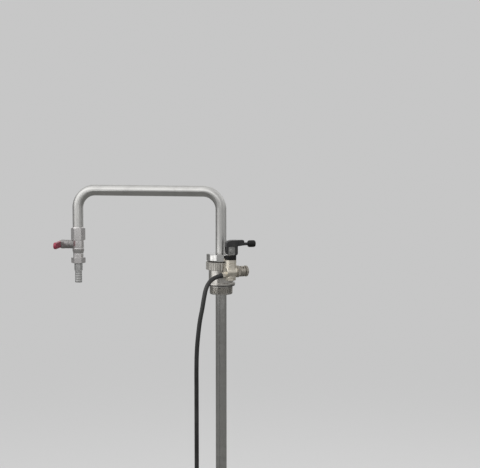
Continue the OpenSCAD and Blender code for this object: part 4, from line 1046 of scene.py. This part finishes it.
class SIPHON_OT_gas_valve(Operator):
    """Forges the gas valve's cross-shaped body and makes its knurled collar and its spring"""

    bl_idname = "siphon.gas_valve"
    bl_label = "Gas valve"

    def execute(self, context):
        piece("gas_cross", self.cross(), VALVE, "head", ["gas_valve_body"])
        piece("gas_collar", self.collar(), VALVE, "head", ["gas_valve_collar"], finish_of("matt_black"))
        spring = piece("gas_spring", coil(5.75, 1.4, 53.2, 69.8, 5), VALVE, "head", ["gas_valve_spring"],
                       crease=80)
        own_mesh(spring)
        return {"FINISHED"}

    def cross(self):
        """Barrel that lies across, neck, heel and bosses in one, with the chamber and three ports."""
        to_head = at(0, 0, GAS_PORT_Z) @ quarter("X", -1)
        foot = low("gas_valve_body")
        top = high("gas_valve_body")
        barrel = turned([(0, -15), (12.9, -15), (14.5, -13.4), *groove(14.5, -9.6, -8.2, 0.4),
                         *groove(14.5, 8.2, 9.6, 0.4), (14.5, 11), (12.2, 13.3), (12.2, 15), (0, 15)])
        body = moved(softened(barrel, 0.4), TO_RELIEF)
        neck = turned([(0, 42), (14, 42), *groove(14, 61, 63.2, 0.6), (14, top), (0, top)])
        heel = turned([(0, foot), (12.4, foot), (13, foot + 0.6), (13, RELIEF_Z), (0, RELIEF_Z)])
        pad = turned([(0, 0), (11, 0), (11, 14.4), (10.4, 15), (0, 15)])
        boss = turned([(0, 6), (7.5, 6), (7.5, 17.4), (6.9, 18), (0, 18)])
        for lump in (neck, heel, moved(pad, to_head), moved(boss, TO_INLET)):
            body = joined(body, lump)
        chamber = turned([(0, 5), (9, 5), (9, 44), (5, 44), (5, 47), (10, 47), (10, 75), (0, 75)])
        body = carved(body, chamber)
        for depth, bore, way in ((11, 4.85, TO_INLET), (9.5, 4.85, TO_RELIEF), (9.8, 6.65, to_head)):
            port = turned([(0, 0), (3, 0), (3, depth), (bore, depth), (bore, 20), (0, 20)])
            body = carved(body, moved(port, way))
        return body

    def collar(self):
        """Black ring under the lever, with grooves round it."""
        outer = 14
        bottom = low("gas_valve_collar")
        top = high("gas_valve_collar")
        shape = softened(ring(9.05, outer, bottom, top, 0.8), 0.4)
        grooves = round_about(lambda: moved(rod(0.7, bottom - 1, top + 1, 12), at(outer + 0.25, 0, 0)),
                              sizes().knurls)
        return softened(carved(shape, grooves), 0.15)


# Gas lever: its cam from the pin, the height of its arm and where the knob starts
CAM_LOW = 11.5
CAM_LIFT = 1.6
ARM_RISE = 16.75
KNOB_START = 44


class SIPHON_OT_gas_lever(Operator):
    """Moulds the black gas lever with its knob and makes its pin"""

    bl_idname = "siphon.gas_lever"
    bl_label = "Gas lever"

    def execute(self, context):
        piece("gas_toggle", self.toggle(), PIVOT, "gas_lever", ["gas_lever"])
        knob = turned([(2.55, 0), (5.8, 0), (7.2, 0.6), (8.2, 2), (8.7, 4.5), (8.75, 8), (8.75, 14),
                       (8.55, 16), (7.9, 18), (6.6, 19.3), (4.6, 19.9), (0, 20), (0, 15.2), (2.55, 15.2)])
        place = PIVOT @ at(KNOB_START, 0, ARM_RISE) @ quarter("Y")
        piece("toggle_knob", knob, place, "gas_lever", ["gas_lever_knob"], finish_of("matt_black"))
        dark = metal("keeper_plate", (0.3, 0.3, 0.29), (0.26, 0.4), tuple(LEVER_AXIS), lines=1200)
        piece("toggle_pin", self.pin(), CROSS_PIN, "gas_lever", ["gas_lever_pin"], dark)
        return {"FINISHED"}

    def pin(self):
        """Pin with a keeper plate and a rivet's head at each end."""
        half = 10
        shape = rod(4, -half - 0.5, half + 0.5)
        for half_turns in (1, 0):
            plate = block((-8.5, -10.5, half), (8.5, 10.5, half + 1.5))
            plate = softened(rounded(plate, edges_along(plate, 2), 3, 5), 0.4)
            head = turned([(0, half + 1), (6, half + 1), (6, half + 1.9), (5.2, half + 3), (0, half + 3)])
            plate = joined(plate, softened(head, 0.4, 3))
            shape = joined(shape, moved(plate, quarter("Y", 2 * half_turns)))
        return shape

    def toggle(self):
        """Wide head with its cam, and the narrow arm that carries the knob."""
        width = 20
        top = 23.25
        front = 16.5
        shoulder = 26.75
        steps = 16
        rate = CAM_LIFT / (math.pi / 2)
        outline = []
        for k in range(steps + 1):
            angle = math.pi / 2 * k / steps
            reach = CAM_LOW + rate * angle
            outline.append((-reach * math.sin(angle) - rate * math.cos(angle),
                            -reach * math.cos(angle) + rate * math.sin(angle)))
        outline += [(-CAM_LOW - CAM_LIFT, top), (0, shoulder), (front, shoulder), (front, -CAM_LOW)]
        shape = prism(outline, width)
        corners = []
        for edge in edges_along(shape, 1):
            place = edge.verts[0].co
            if place.x < 0 and place.z > top - 1 or place.x > front - 1 and place.z < 0:
                corners.append(edge)
        shape = softened(rounded(shape, corners, 6, 8), 0.9, 3, 40)
        arm = softened(block((2, -6, ARM_RISE - 3.5), (KNOB_START, 6, ARM_RISE + 3.5)), 1.6, 4)
        wedge = prism([(4, 9.25), (16.5, 11.25), (34, 13.25), (34, 24.75), (32, 26.75), (4, 26.75)], 12)
        # The other way round, the join leaves a sliver open and later cuts can lose the head
        shape = joined(joined(shape, arm), softened(wedge, 1.2, 3, 20))
        across = quarter("X")
        slot = 6.2
        shape = carved(shape, moved(rod(10, -slot, slot, 96), across))
        shape = carved(shape, block((-20, -slot, -20), (0, slot, 10)))
        shape = carved(shape, block((-1, -slot, -20), (10, slot, 0)))
        shape = carved(shape, moved(rod(4.05, -20, 20), across))
        spike = moved(rod(2.5, 38, KNOB_START + 15, 32), at(0, 0, ARM_RISE) @ quarter("Y"))
        return joined(shape, spike)


class SIPHON_OT_relief(Operator):
    """Makes the relief valve's body with its vents, its pull cap and its spring"""

    bl_idname = "siphon.relief"
    bl_label = "Relief valve"

    def execute(self, context):
        place = VALVE @ TO_RELIEF
        brass = metal("turned_relief", colours().relief, (0.42, 0.56), tuple(RELIEF_WAY), lines=1400,
                      bump=0.05)
        piece("relief_barrel", self.barrel(), place, "head", ["relief_body"], brass)
        piece("relief_pull_cap", self.cap(), place, "relief_pull", ["relief_cap"], brass)
        spring = piece("relief_spring_coil", coil(5, 1.2, 23.7, 34.3, 4), place, "head",
                       ["relief_spring"], crease=80)
        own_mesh(spring)
        return {"FINISHED"}

    def barrel(self):
        """Hexagon and round body on a threaded spigot, bored for the spring, with four vents."""
        end = 38.5
        body = turned([(0, 20), (12, 20), (12, 24.5), (13.5, 26), (13.5, end - 3), (12, end - 1.5),
                       (12, end), (0, end)])
        body = joined(softened(body, 0.35), hexagon(26, 15, 23, 2.2))
        body = joined(body, rod(4.8, 9.5, 16))
        body = carved(body, turned([(0, 5), (3, 5), (3, 19), (8.5, 19), (8.5, 45), (0, 45)]))
        vents = round_about(lambda: moved(rod(2, 4, 20, 32), at(0, 0, 30.75) @ quarter("X")), 4,
                            math.radians(45))
        return carved(body, vents)

    def cap(self):
        """Pull cap with a bore for the stem and grooves round its rim."""
        outer = 14
        bottom = 39
        rim = 44.75
        top = rim + 2
        shape = turned([(0, top), (0, rim), (2.55, rim), (2.55, bottom), (outer - 0.8, bottom),
                        (outer, bottom + 0.8), (outer, rim - 0.8), (outer - 0.8, rim), (12, rim + 0.1),
                        (10, top)])
        grooves = round_about(lambda: moved(rod(1.2, bottom - 1, rim + 1, 24), at(outer + 0.6, 0, 0)),
                              sizes().cap_grooves)
        return softened(carved(softened(shape, 0.4), grooves), 0.2)


class SIPHON_OT_carried(Operator):
    """Gives the frame's own nodes that still show their finishes"""

    bl_idname = "siphon.carried"
    bl_label = "Carried pieces"

    def execute(self, context):
        for name, obj in frame["nodes"].items():
            if obj.hide_render:
                continue
            finish = finish_of(SLOTS[name])
            for place in obj.material_slots:
                place.material = finish
        return {"FINISHED"}


MAKERS = ("stage", "hose", "tubes", "head", "union", "tap", "tap_lever", "gas_valve", "gas_lever",
          "relief", "carried")


class SIPHON_PT_panel(Panel):
    """Sizes, colours and makers of the siphon head"""

    bl_idname = "SIPHON_PT_panel"
    bl_label = "Siphon head"
    bl_space_type = "VIEW_3D"
    bl_region_type = "UI"
    bl_category = "Siphon"

    def draw(self, context):
        for group in (context.scene.siphon_sizes, context.scene.siphon_colours):
            box = self.layout.box()
            for key in group.__annotations__:
                box.prop(group, key)
        for maker in MAKERS:
            self.layout.operator("siphon." + maker)


CLASSES = (SiphonSizes, SiphonColours, SIPHON_OT_stage, SIPHON_OT_hose, SIPHON_OT_tubes, SIPHON_OT_head,
           SIPHON_OT_union, SIPHON_OT_tap, SIPHON_OT_tap_lever, SIPHON_OT_gas_valve, SIPHON_OT_gas_lever,
           SIPHON_OT_relief, SIPHON_OT_carried, SIPHON_PT_panel)


def register():
    """Registers the add-on's classes and the scene's settings."""
    for entry in CLASSES:
        bpy.utils.register_class(entry)
    bpy.types.Scene.siphon_sizes = PointerProperty(type=SiphonSizes)
    bpy.types.Scene.siphon_colours = PointerProperty(type=SiphonColours)


def unregister():
    """Takes the scene's settings and the add-on's classes away again."""
    del bpy.types.Scene.siphon_colours
    del bpy.types.Scene.siphon_sizes
    for entry in reversed(CLASSES):
        bpy.utils.unregister_class(entry)


def main():
    """Builds the stage and every piece."""
    register()
    for maker in MAKERS:
        getattr(bpy.ops.siphon, maker)()


if __name__ == "__main__":
    main()
